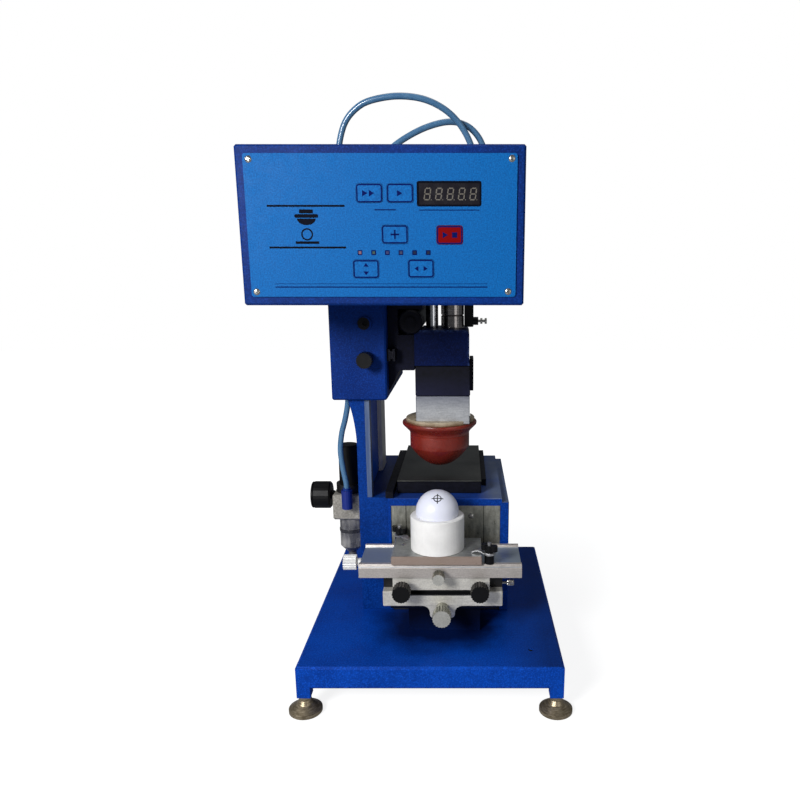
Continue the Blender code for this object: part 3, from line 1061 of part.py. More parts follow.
# Pad holder with its piston rod and side clip, guide rod, spacer block and silicone pad
holder_top = PAD_BRACKET_BOTTOM - CLEARANCE
holder_left, holder_right = HOLDER_CENTRE_X - HOLDER_WIDTH / 2, HOLDER_CENTRE_X + HOLDER_WIDTH / 2
holder = block("pad_holder", BLACK_OXIDE, (holder_left, HOLDER_FRONT, HOLDER_BOTTOM),
               (holder_right, HOLDER_BACK, holder_top), EDGE)
join(holder, rod("piston_rod", None, PISTON_ROD_RADIUS, (PAD_CYLINDER_X, PAD_Y, holder_top - OVERRUN),
                 (PAD_CYLINDER_X, PAD_Y, PISTON_ROD_TOP), FACETS_SMALL))
clip_front, clip_back = PAD_Y - CLIP_WIDTH / 2, PAD_Y + CLIP_WIDTH / 2
clip_points = [(clip_back, CLIP_TOP), (clip_front, CLIP_TOP)]
clip_points += arc((PAD_Y, CLIP_BOTTOM + CLIP_WIDTH / 2), CLIP_WIDTH / 2, 180, 360, 8)
join(holder,
     flat_outline("clip", None, clip_points, holder_right - CLIP_OVERLAP, holder_right + CLIP_THICKNESS,
                  "YZ"))
rod("guide_rod", BRIGHT_STEEL, GUIDE_ROD_RADIUS, (-GUIDE_ROD_X, PAD_Y, holder_top + CLEARANCE),
    (-GUIDE_ROD_X, PAD_Y, GUIDE_ROD_TOP))
spacer_top = HOLDER_BOTTOM - CLEARANCE
spacer_bottom = spacer_top - SPACER_HEIGHT
block("pad_spacer", BARE_ALUMINIUM, (holder_left, SPACER_FRONT, spacer_bottom),
      (holder_right - CLIP_OVERLAP, SPACER_BACK, spacer_top),
      EDGE)
pad_top = spacer_bottom - CLEARANCE
rim_top = pad_top - PAD_BASE_PROUD
taper_bottom = rim_top - PAD_RIM_HEIGHT - PAD_TAPER_HEIGHT
dome_top = taper_bottom - PAD_BODY_HEIGHT
dome = []
for i in range(PAD_DOME_STEPS + 1):
    share = math.sin(math.pi / 2 * (1 - i / PAD_DOME_STEPS))
    dome.append((PAD_BODY_RADIUS * share, dome_top - PAD_DOME_HEIGHT * (1 - share ** PAD_DOME_POWER)))
turned("silicone_pad", RED_SILICONE,
       [(0, pad_top), (PAD_BASE_RADIUS, pad_top), (PAD_BASE_RADIUS, rim_top), (PAD_RIM_RADIUS, rim_top),
        (PAD_RIM_RADIUS, rim_top - PAD_RIM_HEIGHT), (PAD_BODY_RADIUS, taper_bottom)] + dome, (0, PAD_Y, 0),
       facets=FACETS_LARGE)

# Valve manifold on the housing: a body with two coils behind it and three ports
manifold_bottom = HOUSING_TOP + CLEARANCE
manifold_top = manifold_bottom + MANIFOLD_HEIGHT
manifold = block("valve_manifold", BARE_ALUMINIUM, (-MANIFOLD_LEFT, MANIFOLD_FRONT, manifold_bottom),
                 (-MANIFOLD_RIGHT, MANIFOLD_BACK, manifold_top), EDGE)
coil_middle = -(MANIFOLD_LEFT + MANIFOLD_RIGHT) / 2
for sign in (-1, 1):
    inner = coil_middle + sign * MANIFOLD_COIL_GAP / 2
    outer = inner + sign * MANIFOLD_COIL_WIDTH
    join(manifold, block("coil", None, (min(inner, outer), MANIFOLD_BACK - EDGE, manifold_bottom + EDGE),
                         (max(inner, outer), MANIFOLD_BACK + MANIFOLD_COIL_DEPTH,
                          manifold_bottom + EDGE + MANIFOLD_COIL_HEIGHT)))
for route in (HOSE_A_ROUTE, HOSE_B_ROUTE):
    x, y, z = route[0]
    join(manifold,
         rod("port", None, PORT_COLLAR, (x, y, manifold_top - EDGE), (x, y, z - CLEARANCE), FACETS_SMALL))
join(manifold,
     rod("supply_port", None, SUPPLY_PORT_RADIUS, (supply_x, supply_y, SUPPLY_ROUTE[-1][2] + CLEARANCE),
                   (supply_x, supply_y, manifold_bottom + EDGE), FACETS_SMALL))

# Filter regulator on the column's left side: body with its collar and elbow, bowl, knob and gauge
body_left, body_right = -REGULATOR_X - REGULATOR_WIDTH / 2, -REGULATOR_X + REGULATOR_WIDTH / 2
body_front, body_back = REGULATOR_Y - REGULATOR_DEPTH / 2, REGULATOR_Y + REGULATOR_DEPTH / 2
body_top = REGULATOR_BOTTOM + REGULATOR_HEIGHT
collar_top = body_top + REGULATOR_NECK_HEIGHT
regulator = block("regulator_body", ZINC_CASTING, (body_left, body_front, REGULATOR_BOTTOM),
                  (body_right, body_back, body_top), SOFT_EDGE)
join(regulator,
     rod("regulator_collar", None, REGULATOR_NECK_RADIUS, (-REGULATOR_X, REGULATOR_Y, body_top - EDGE),
                    (-REGULATOR_X, REGULATOR_Y, collar_top)))
elbow_x = SUPPLY_ROUTE[0][0]
join(regulator, rod("elbow_riser", None, ELBOW_RADIUS, (elbow_x, ELBOW_Y, ELBOW_HEIGHT - ELBOW_RADIUS),
                    (elbow_x, ELBOW_Y, ELBOW_TOP), FACETS_SMALL))
join(regulator, rod("elbow_inlet", None, ELBOW_RADIUS - EDGE, (elbow_x, ELBOW_Y, ELBOW_HEIGHT),
                    (elbow_x, body_front + EDGE, ELBOW_HEIGHT), FACETS_SMALL))
knob_bottom = collar_top + CLEARANCE
knob_top = knob_bottom + REGULATOR_KNOB_HEIGHT
turned("regulator_knob", BLACK_PLASTIC,
       [(0, knob_top), (REGULATOR_KNOB_RADIUS - SOFT_EDGE, knob_top),
        (REGULATOR_KNOB_RADIUS, knob_top - SOFT_EDGE),
        (REGULATOR_KNOB_RADIUS, knob_bottom), (0, knob_bottom)], (-REGULATOR_X, REGULATOR_Y, 0))
bowl_top = REGULATOR_BOTTOM - CLEARANCE
bowl_bottom = bowl_top - BOWL_HEIGHT
band = (bowl_top + bowl_bottom) / 2
turned("regulator_bowl", CLEAR_BOWL,
       [(0, bowl_top), (BOWL_RADIUS, bowl_top), (BOWL_RADIUS, band + BOWL_BAND_HEIGHT),
        (BOWL_RADIUS + BOWL_BAND, band + BOWL_BAND_HEIGHT), (BOWL_RADIUS + BOWL_BAND, band),
        (BOWL_RADIUS, band),
        (BOWL_RADIUS, bowl_bottom), (DRAIN_RADIUS, bowl_bottom - BOWL_CONE_HEIGHT),
        (DRAIN_RADIUS, bowl_bottom - BOWL_CONE_HEIGHT - DRAIN_HEIGHT),
        (0, bowl_bottom - BOWL_CONE_HEIGHT - DRAIN_HEIGHT)], (-REGULATOR_X, REGULATOR_Y, 0))
stem_end = body_left - CLEARANCE
gauge_back = stem_end - GAUGE_STEM_LENGTH
gauge_face = gauge_back - GAUGE_DEPTH
turned("gauge", BLACK_PLASTIC,
       [(0, -gauge_face), (GAUGE_RADIUS - SOFT_EDGE, -gauge_face), (GAUGE_RADIUS, -gauge_face - SOFT_EDGE),
        (GAUGE_RADIUS, -gauge_back + SOFT_EDGE), (GAUGE_RADIUS - SOFT_EDGE, -gauge_back),
        (GAUGE_STEM_RADIUS, -gauge_back), (GAUGE_STEM_RADIUS, -stem_end), (0, -stem_end)],
       (0, REGULATOR_Y, GAUGE_HEIGHT), (-1, 0, 0))

# Air hoses: supply hose up the column, and the two hoses over the control box
hose("supply_hose", HOSE_BLUE, SUPPLY_ROUTE, HOSE_RADIUS, HOSE_STEP)
hose("hose_a", HOSE_BLUE, HOSE_A_ROUTE, HOSE_RADIUS, HOSE_STEP)
hose("hose_b", HOSE_BLUE, HOSE_B_ROUTE, HOSE_RADIUS, HOSE_STEP)

# Sliding groups, each under an empty on its own slide, and the machine moved to its origin
GROUPS = {
    "head_slide": (None, (-COLUMN_LEFT, COLUMN_FRONT, HOUSING_BOTTOM),
                   ["head_housing", "head_lock_knob", "control_box", "box_back_cover", "power_switch",
                    "front_panel",
                    "display_window", "slide_rail", "travel_rod", "valve_manifold", *KEY_CENTRES]),
    "carriage_slide": ("head_slide", (rail_left, ARM_FRONT, RAIL_CENTRE),
                       ["slide_arm", "travel_cylinder", "pad_bracket", "pad_cylinder", "flow_valve",
                        "flow_screw"]),
    "pad_slide": ("carriage_slide", (0, PAD_Y, HOLDER_BOTTOM),
                  ["pad_holder", "guide_rod", "pad_spacer", "silicone_pad"]),
    "middle_slide_feed": (None, (TAB_CENTRE, MIDDLE_FRONT, middle_bottom),
                          ["middle_slide", "lock_knob_left", "lock_knob_right"]),
    "top_slide_feed": ("middle_slide_feed", (0, X_KNOB_Y, X_KNOB_HEIGHT),
                       ["top_slide", "x_knob", "top_clamp_knob", "jig_plate", "nest", "sample_ball",
                        "clamp_left",
                        "clamp_right", "thumb_nut_left", "thumb_nut_right"]),
}


def attach(child, parent):
    """Parent an object so that it keeps its place."""
    bpy.context.view_layer.update()
    child.parent = parent
    child.matrix_parent_inverse = parent.matrix_world.inverted()


for name, (carrier, place, members) in GROUPS.items():
    slide = bpy.data.objects.new(name, None)
    machine.objects.link(slide)
    slide.location = place
    attach(slide, bpy.data.objects[carrier] if carrier else datum)
    for member in members:
        attach(bpy.data.objects[member], slide)
for obj in list(machine.objects) + list(cutters.objects):
    if obj.parent is None and obj is not datum:
        attach(obj, datum)
foot_right = foot_places["front_right"][0] + FOOT_RADIUS
datum.location = ((BOX_LEFT - foot_right) / 2, -BASE_DEPTH / 2, 0)
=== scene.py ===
"""Bench pad printing machine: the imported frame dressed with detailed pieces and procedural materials.

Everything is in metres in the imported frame: x to the operator's right, y away from the operator and
z up from the bench. Object coordinates of a frame node are the same as world coordinates. Places on the
machine and turned profiles are given in the machine's own millimetres, counted from its front edge.
"""
import math

import bpy
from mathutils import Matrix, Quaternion, Vector
from mathutils.geometry import interpolate_bezier


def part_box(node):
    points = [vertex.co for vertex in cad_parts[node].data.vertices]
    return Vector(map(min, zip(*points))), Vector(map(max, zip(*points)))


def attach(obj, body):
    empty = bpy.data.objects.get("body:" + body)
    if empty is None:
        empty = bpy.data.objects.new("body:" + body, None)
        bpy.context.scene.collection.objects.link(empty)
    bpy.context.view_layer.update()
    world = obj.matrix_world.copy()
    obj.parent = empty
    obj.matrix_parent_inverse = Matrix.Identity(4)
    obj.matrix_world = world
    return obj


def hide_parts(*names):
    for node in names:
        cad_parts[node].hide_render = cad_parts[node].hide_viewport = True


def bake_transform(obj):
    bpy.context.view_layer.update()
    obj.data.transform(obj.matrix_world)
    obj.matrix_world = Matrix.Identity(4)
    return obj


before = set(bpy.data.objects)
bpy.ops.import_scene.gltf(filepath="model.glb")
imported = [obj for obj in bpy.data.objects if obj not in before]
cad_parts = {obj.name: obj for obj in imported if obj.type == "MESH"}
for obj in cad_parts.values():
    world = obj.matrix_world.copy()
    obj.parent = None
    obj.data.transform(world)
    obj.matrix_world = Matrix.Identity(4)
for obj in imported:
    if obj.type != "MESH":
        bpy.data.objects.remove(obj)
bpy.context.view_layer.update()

# Camera: a little above the control box's lower edge, looking slightly down, framed as in the
# photograph by a small shift of the lens.
camera_data = bpy.data.cameras.new("camera")
camera_data.sensor_width = 36
camera_data.lens = 32.4
camera_data.shift_x = -0.08125
camera_data.shift_y = 0.0625
camera_data.clip_start = 0.01
camera = bpy.data.objects.new("camera", camera_data)
camera.location = (0.0395, -0.7568, 0.411)
camera.rotation_euler = (math.radians(90 - 14.04), 0, 0)
bpy.context.scene.collection.objects.link(camera)
bpy.context.scene.camera = camera


# Air hoses: three light blue polyurethane tubes of 6 mm. Their routes are the frame's own, so each
# runs from fitting to fitting.
MACHINE_ZERO = Vector((0.0119, -0.153, 0))


def place_at(x, y, z):
    """A point of the machine in millimetres as a point of the frame in metres."""
    return MACHINE_ZERO + Vector((x, y, z)) / 1000


def select_only(*objects):
    """Selects these objects alone and makes the first one active."""
    bpy.ops.object.select_all(action="DESELECT")
    for obj in objects:
        obj.select_set(True)
    bpy.context.view_layer.objects.active = objects[0]


def add(tree, kind, inputs=None, **settings):
    """A shader node with its settings and inputs; an input is a value or another node's output."""
    node = tree.nodes.new("ShaderNode" + kind)
    for key, value in settings.items():
        setattr(node, key, value)
    for key, value in (inputs or {}).items():
        if isinstance(value, bpy.types.NodeSocket):
            tree.links.new(value, node.inputs[key])
        else:
            node.inputs[key].default_value = value
    return node


def material(name, colour, roughness, metallic=0.0, **sockets):
    """A new material; returns its node tree and shader as well."""
    new = bpy.data.materials.new(name)
    new.use_nodes = True
    shader = new.node_tree.nodes["Principled BSDF"]
    shader.inputs["Base Color"].default_value = (*colour, 1)
    shader.inputs["Roughness"].default_value = roughness
    shader.inputs["Metallic"].default_value = metallic
    for key, value in sockets.items():
        shader.inputs[key.replace("_", " ")].default_value = value
    new.diffuse_color = (*colour, 1)
    return new, new.node_tree, shader


def coordinates(tree, stretch=(1, 1, 1)):
    """Object coordinates, stretched along each axis."""
    place = add(tree, "TexCoord").outputs["Object"]
    return add(tree, "Mapping", {"Vector": place, "Scale": stretch}).outputs["Vector"]


def grain(tree, place, scale, detail=4.0, rough=0.6):
    """Noise from 0 to 1 over stretched coordinates."""
    return add(tree, "TexNoise", {"Vector": place, "Scale": scale, "Detail": detail,
                                  "Roughness": rough}).outputs["Fac"]


def spread(tree, value, low, high, floor=0.0, top=1.0):
    """A value from low..high mapped to floor..top and kept inside it."""
    return add(tree, "MapRange", {"Value": value, "From Min": low, "From Max": high,
                                  "To Min": floor, "To Max": top}).outputs["Result"]


def blend_colour(tree, share, first, second):
    """Two colours mixed by a share; each is a colour or a node's output."""
    mix = add(tree, "Mix", data_type="RGBA")
    for socket, value in ((mix.inputs[0], share), (mix.inputs[6], first), (mix.inputs[7], second)):
        if isinstance(value, bpy.types.NodeSocket):
            tree.links.new(value, socket)
        else:
            socket.default_value = (*value, 1) if isinstance(value, tuple) else value
    return mix.outputs[2]


def relief(tree, shader, height, strength, distance):
    """A bump from a height, on top of one that the shader already has."""
    old = shader.inputs["Normal"].links
    inputs = {"Height": height, "Strength": strength, "Distance": distance}
    if old:
        inputs["Normal"] = old[0].from_socket
    tree.links.new(add(tree, "Bump", inputs).outputs["Normal"], shader.inputs["Normal"])


def tube(name, route, radius, skin):
    """A smooth round tube along a route of the machine, and the points of its centre line."""
    knots = [place_at(*point) for point in route]
    ends = [knots[0] * 2 - knots[1]] + knots + [knots[-1] * 2 - knots[-2]]
    path = [knots[0]]
    for before, start, end, after in zip(ends, ends[1:], ends[2:], ends[3:]):
        path += interpolate_bezier(start, start + (end - before) / 6, end - (after - start) / 6, end,
                                   STEPS_PER_KNOT + 1)[1:]
    curve = bpy.data.curves.new(name, "CURVE")
    curve.dimensions = "3D"
    curve.bevel_depth = radius
    curve.bevel_resolution = 5
    curve.use_fill_caps = True
    spline = curve.splines.new("POLY")
    spline.points.add(len(path) - 1)
    for point, place in zip(spline.points, path):
        point.co = (*place, 1)
    obj = bpy.data.objects.new(name, curve)
    bpy.context.scene.collection.objects.link(obj)
    select_only(obj)
    bpy.ops.object.convert(target="MESH")
    obj = bpy.context.object
    obj.data.shade_smooth()
    obj.data.materials.clear()
    obj.data.materials.append(skin)
    return obj, [tuple(point) for point in path]


hose_skin, tree, shader = material("hose_polyurethane", (0.06, 0.22, 0.46), 0.24, IOR=1.49, Coat_Weight=0.3,
                                   Subsurface_Weight=0.15, Subsurface_Radius=(0.002, 0.003, 0.004))
streaks = grain(tree, coordinates(tree, (1, 1, 0.2)), 90)
tree.links.new(blend_colour(tree, streaks, (0.045, 0.130, 0.270), (0.095, 0.220, 0.370)),
               shader.inputs["Base Color"])

STEPS_PER_KNOT = 7
HOSE_DIAMETER = 0.006
SUPPLY_ROUTE = [(-101.5, 148, 178.5), (-101.9, 148, 187), (-105, 148.8, 204), (-106.8, 149.6, 222),
                (-104.8, 150, 240), (-100.2, 150, 257), (-96.8, 150, 275), (-96.2, 150, 296),
                (-97, 150, 330), (-97, 150, 380), (-97, 150, 429.7)]
HOSE_A_ROUTE = [(-95, 150, 470.6), (-95.2, 150, 484), (-96.6, 149.5, 506), (-95, 148, 528), (-88.5, 146, 548),
                (-77, 143.5, 560.5), (-62, 141.5, 567.5), (-36, 140, 571), (-10, 141, 568), (12, 145, 557.5),
                (28, 149, 540), (37.5, 150.5, 516), (41.5, 150.5, 484), (40, 152.2, 450), (36, 158.4, 418),
                (32.4, 163.4, 398), (31.65, 164, 386.5)]
HOSE_B_ROUTE = [(-63, 150, 470.6), (-62.8, 150, 482), (-59, 150.6, 503), (-49.5, 152, 521),
                (-36, 153.4, 533), (-12, 155, 545.5), (12, 157, 551.5), (30, 159.8, 548), (42.5, 162, 536),
                (48, 163.4, 519), (47, 164, 500), (42.5, 164, 482), (39.4, 164, 470), (39, 164, 461.5)]
for name, route, length, carriers, last_knot in (
        ("supply_hose", SUPPLY_ROUTE, 0.253, ("frame", "head"), 7),
        ("hose_a", HOSE_A_ROUTE, 0.372, ("head", "carriage"), len(HOSE_A_ROUTE) - 1),
        ("hose_b", HOSE_B_ROUTE, 0.237, ("head", "carriage"), len(HOSE_B_ROUTE) - 1)):
    hose, path = tube(name + "_tube", route, HOSE_DIAMETER / 2, hose_skin)
    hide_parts(name)
    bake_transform(hose)


# Floor, light and backdrop: a white room, a large soft lamp in front on the left that models the round
# parts, and weaker ones from the right and above.
def arrow(tree, operation, *values):
    """A sum on vectors; the result is a number for a length, a distance or a dot product."""
    node = add(tree, "VectorMath", dict(enumerate(values)), operation=operation)
    return node.outputs["Value" if operation in ("LENGTH", "DISTANCE", "DOT_PRODUCT") else "Vector"]


world = bpy.data.worlds.new("studio")
bpy.context.scene.world = world
world.use_nodes = True
sky = world.node_tree
background = sky.nodes["Background"]
background.inputs["Color"].default_value = (0.80, 0.85, 0.92, 1)
background.inputs["Strength"].default_value = 0.13
white = add(sky, "Background", {"Color": (1, 1, 1, 1), "Strength": 1.0})
seen = add(sky, "LightPath").outputs["Is Camera Ray"]
pick = add(sky, "MixShader", {0: seen, 1: background.outputs[0], 2: white.outputs[0]})
sky.links.new(pick.outputs[0], sky.nodes["World Output"].inputs["Surface"])
bpy.context.scene.view_settings.view_transform = "Standard"

bpy.ops.mesh.primitive_plane_add(size=6, location=(0, 0, -0.0002))
floor = bpy.context.object
floor.name = "floor"
floor_paint, tree, shader = material("floor_white", (0.30, 0.30, 0.30), 0.9)
away = arrow(tree, "LENGTH", coordinates(tree))
glow = add(tree, "Emission", {"Color": (1, 1, 1, 1), "Strength": spread(tree, away, 0.2, 0.6, 0.86, 1.0)})
dim = add(tree, "BsdfDiffuse", {"Color": (0.40, 0.41, 0.43, 1)})
shine = add(tree, "MixShader", {0: add(tree, "LightPath").outputs["Is Camera Ray"], 1: dim.outputs[0]})
both = add(tree, "AddShader", {0: shader.outputs[0], 1: glow.outputs[0]})
tree.links.new(both.outputs[0], shine.inputs[2])
tree.links.new(shine.outputs[0], tree.nodes["Material Output"].inputs["Surface"])
floor.data.materials.append(floor_paint)

for name, place, aim_height, size, power in (
        ("key_lamp", (-0.70, -1.20, 0.80), 0.25, 0.45, 21),
        ("fill_lamp", (0.85, -1.05, 0.50), 0.25, 0.8, 1.6),
        ("top_lamp", (0.1, 0.25, 1.4), 0.2, 0.9, 2.2)):
    lamp_data = bpy.data.lights.new(name, "AREA")
    lamp_data.shape = "DISK"
    lamp_data.size = size
    lamp_data.energy = power
    lamp = bpy.data.objects.new(name, lamp_data)
    lamp.location = place
    lamp.rotation_euler = (Vector((0, 0, aim_height)) - Vector(place)).to_track_quat("-Z", "Y").to_euler()
    bpy.context.scene.collection.objects.link(lamp)


# Silicone pad: a smooth red-brown dome with a flared rim, cast onto a round cream board that shows as
# a ring on top. It has a soft gloss, faint mould rings, a parting line and a darker tip.
def start_edit(obj):
    """Goes into edit mode on one object with all of it selected."""
    select_only(obj)
    bpy.ops.object.mode_set(mode="EDIT")
    bpy.ops.mesh.select_all(action="SELECT")


def settle(obj, name, *skins, body, smooth=30):
    """Finishes a piece: its place applied, shaded, named, dressed and put on its body."""
    select_only(obj)
    bpy.ops.object.transform_apply(location=True, rotation=True, scale=True)
    bpy.ops.object.shade_smooth_by_angle(angle=math.radians(smooth))
    obj.name = name
    for skin in skins:
        obj.data.materials.append(skin)
    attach(obj, body)
    return obj


def lathe(profile, centre, steps=96, axis=(0, 0, 1)):
    """A turned piece from (radius, height) points in millimetres, spun round an axis through a point."""
    bpy.ops.object.select_all(action="DESELECT")
    bpy.ops.mesh.primitive_plane_add(size=0.001, location=(0, 0, 0))
    obj = bpy.context.object
    start_edit(obj)
    bpy.ops.mesh.merge(type="CENTER")
    here = Vector((0, 0, 0))
    for i, (radius, height) in enumerate(profile):
        step = Vector((radius / 1000, 0, height / 1000)) - here
        if i == 0:
            bpy.ops.transform.translate(value=step)
        else:
            bpy.ops.mesh.extrude_vertices_move(TRANSFORM_OT_translate={"value": step})
        here += step
    bpy.ops.mesh.select_all(action="SELECT")
    bpy.ops.mesh.spin(steps=steps, angle=2 * math.pi, center=(0, 0, 0), axis=(0, 0, 1))
    bpy.ops.mesh.select_all(action="SELECT")
    bpy.ops.mesh.remove_doubles(threshold=0.000002)
    bpy.ops.mesh.normals_make_consistent(inside=False)
    bpy.ops.object.mode_set(mode="OBJECT")
    obj.location = centre
    obj.rotation_euler = Vector(axis).to_track_quat("Z", "Y").to_euler()
    return obj


silicone, tree, shader = material("pad_silicone", (0.20, 0.020, 0.011), 0.30, IOR=1.43, Coat_Weight=0.35,
                                  Coat_Roughness=0.16, Subsurface_Weight=0.12,
                                  Subsurface_Radius=(0.004, 0.001, 0.0006))
place = coordinates(tree)
clouds = spread(tree, grain(tree, place, 45, 5), 0.3, 0.7)
colour = blend_colour(tree, clouds, (0.160, 0.014, 0.008), (0.245, 0.026, 0.014))
height = add(tree, "SeparateXYZ", {0: place}).outputs["Z"]
tip = spread(tree, height, 0.204, 0.222, 1.0, 0.0)
colour = blend_colour(tree, tip, colour, (0.125, 0.011, 0.008))
tree.links.new(colour, shader.inputs["Base Color"])
rings = grain(tree, coordinates(tree, (1, 1, 60)), 14, 2)
relief(tree, shader, rings, 0.12, 0.0004)
relief(tree, shader, grain(tree, place, 130, 4), 0.10, 0.0006)
tree.links.new(spread(tree, grain(tree, place, 70, 3), 0.3, 0.7, 0.22, 0.42), shader.inputs["Roughness"])

cream, tree, shader = material("pad_board", (0.62, 0.52, 0.34), 0.55)
place = coordinates(tree)
colour = blend_colour(tree, grain(tree, coordinates(tree, (1, 6, 1)), 160, 5), (0.50, 0.40, 0.25),
                      (0.72, 0.62, 0.43))
tree.links.new(colour, shader.inputs["Base Color"])
relief(tree, shader, grain(tree, place, 900, 2), 0.2, 0.0003)

DOME_RADIUS, DOME_START, DOME_DEPTH = 32.2, 225.1, 22
BOARD_RADIUS, BOARD_FOOT = 0.0362, 0.2525
dome = []
for i in range(1, 31):
    share = math.cos(math.radians(3 * i))
    dome.append((DOME_RADIUS * share, DOME_START - DOME_DEPTH * (1 - share ** 2.2)))
pad_axis = place_at(0, 164, 0)
pad = lathe([(0, 253.3), (36.1, 253.3), (36.5, 252.9), (36.6, 252.5), (39.4, 252.6), (40.0, 252.3),
             (40.2, 251.7), (40.2, 250.6), (40.0, 249.6), (39.2, 248.6), (37.2, 246.6), (35.2, 244.6),
             (33.6, 242.9), (32.7, 241.6), (32.3, 240.2), (32.2, 239.4), (31.8, 239.0),
             (31.8, 238.7), (32.2, 238.3), (32.2, 232), (DOME_RADIUS, DOME_START)] + dome, pad_axis)
settle(pad, "pad_dome", silicone, cream, smooth=40, body="pad")
for face in pad.data.polygons:
    spot = face.center - pad_axis
    face.material_index = int(spot.xy.length < BOARD_RADIUS and spot.z > BOARD_FOOT)
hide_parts("silicone_pad")


# Board edge: the pad's thick plywood board stands up round the foot of the spacer, which is let into it.
# Its sawn edge is pale on top and darker brown towards its foot.
def figure(tree, operation, *values):
    """A sum on one, two or three numbers."""
    return add(tree, "Math", dict(enumerate(values)), operation=operation).outputs[0]


def cut_with(piece, cutter):
    """Cuts a piece with another, which is used up."""
    modifier = piece.modifiers.new("recess", "BOOLEAN")
    modifier.object = cutter
    modifier.solver = "EXACT"
    modifier.operation = "DIFFERENCE"
    select_only(piece)
    bpy.ops.object.modifier_apply(modifier=modifier.name)
    bpy.data.objects.remove(cutter)


ply, tree, shader = material("plywood_edge", (0.45, 0.36, 0.25), 0.6)
place = coordinates(tree)
wavy = figure(tree, "ADD", add(tree, "SeparateXYZ", {0: place}).outputs["Z"],
              spread(tree, grain(tree, place, 90, 4), 0.3, 0.7, -0.0012, 0.0012))
colour = blend_colour(tree, spread(tree, wavy, 0.2530, 0.2568), (0.120, 0.055, 0.022), (0.52, 0.44, 0.32))
streaks = spread(tree, grain(tree, coordinates(tree, (1, 1, 14)), 60, 5), 0.35, 0.65, 0.0, 0.6)
tree.links.new(blend_colour(tree, streaks, colour, (0.24, 0.17, 0.09)), shader.inputs["Base Color"])
relief(tree, shader, streaks, 0.4, 0.0005)
board = lathe([(0, 252.45), (36.8, 252.45), (37.2, 252.9), (37.0, 256.4), (36.5, 256.9), (0, 256.9)],
              place_at(0.8, 164, 0))
bpy.ops.object.select_all(action="DESELECT")
bpy.ops.mesh.primitive_cube_add(size=1, location=place_at(4.6, 164, 258.5))
spacer_foot = bpy.context.object
spacer_foot.scale = (0.0571, 0.0543, 0.0101)
cut_with(board, spacer_foot)
settle(board, "pad_board_edge", ply, body="pad")

# Sample ball: smooth, slightly bluish white, with a plain register mark, a ring on a cross, printed on its
# upper front as a test.
BALL_RADIUS = 0.02135
MARK_TILT = math.radians(53)
RING_RADIUS, CROSS_REACH, LINE_HALF = 0.0036, 0.0058, 0.0005
ball_centre = place_at(0, 76.7, 178.55)
bpy.ops.object.select_all(action="DESELECT")
bpy.ops.mesh.primitive_uv_sphere_add(segments=32, ring_count=16, radius=BALL_RADIUS, location=ball_centre)
ball = bpy.context.object
start_edit(ball)
bpy.ops.mesh.subdivide(number_cuts=2)
bpy.ops.transform.tosphere(value=1)
bpy.ops.object.mode_set(mode="OBJECT")
for vertex in ball.data.vertices:
    vertex.co = vertex.co.normalized() * BALL_RADIUS
ball_skin, tree, shader = material("ball_white", (0.80, 0.82, 0.93), 0.34, IOR=1.48, Coat_Weight=0.25,
                                   Coat_Roughness=0.2, Subsurface_Weight=0.1,
                                   Subsurface_Radius=(0.003, 0.003, 0.004))
place = coordinates(tree)
colour = blend_colour(tree, grain(tree, place, 60, 4), (0.74, 0.76, 0.89), (0.86, 0.87, 0.96))
mark = ball_centre + Vector((0.0008, -math.cos(MARK_TILT) * BALL_RADIUS, math.sin(MARK_TILT) * BALL_RADIUS))
offset = arrow(tree, "SUBTRACT", place, mark)
away = arrow(tree, "LENGTH", offset)
across, upward = [figure(tree, "ABSOLUTE", arrow(tree, "DOT_PRODUCT", offset, along))
                  for along in ((1, 0, 0), (0, math.sin(MARK_TILT), math.cos(MARK_TILT)))]
cross = figure(tree, "MULTIPLY",
               figure(tree, "LESS_THAN", figure(tree, "MINIMUM", across, upward), LINE_HALF),
               figure(tree, "LESS_THAN", away, CROSS_REACH))
ink = figure(tree, "MAXIMUM", figure(tree, "COMPARE", away, RING_RADIUS, LINE_HALF), cross)
tree.links.new(blend_colour(tree, ink, colour, (0.02, 0.02, 0.03)), shader.inputs["Base Color"])
relief(tree, shader, grain(tree, place, 500, 3), 0.05, 0.0002)
settle(ball, "ball_smooth", ball_skin, body="sample_ball")
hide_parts("sample_ball")


# Base: a folded steel tray in satin royal-blue powder coat, with a fine orange peel and sparse pale specks.
# A painted shadow lies under the cross table, and painted shade darkens the top towards the right.
def dress(skin, *names):
    """Gives frame nodes a material."""
    for name in names:
        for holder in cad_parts[name].material_slots:
            holder.material = skin


def place_of(tree):
    """X, Y and Z of the place on the piece."""
    return add(tree, "SeparateXYZ", {0: coordinates(tree)}).outputs


def facing(tree, axis):
    """How far a face looks along an axis, from -1 to 1."""
    return add(tree, "SeparateXYZ", {0: add(tree, "TexCoord").outputs["Normal"]}).outputs[axis]


def masked(tree, value, limit, above=True):
    """1 where a value is above (or below) a limit, else 0."""
    return figure(tree, "GREATER_THAN" if above else "LESS_THAN", value, limit)


def both_of(tree, *shares):
    """The product of several shares."""
    result = shares[0]
    for share in shares[1:]:
        result = figure(tree, "MULTIPLY", result, share)
    return result


def between(tree, value, low, high):
    """1 where a value lies between two limits, else 0."""
    return both_of(tree, masked(tree, value, low), masked(tree, value, high, False))


def tinted(tree, shader, share, tone):
    """Lays a tone over the colour that the shader already has."""
    socket = shader.inputs["Base Color"]
    tree.links.new(blend_colour(tree, share, socket.links[0].from_socket, tone), socket)


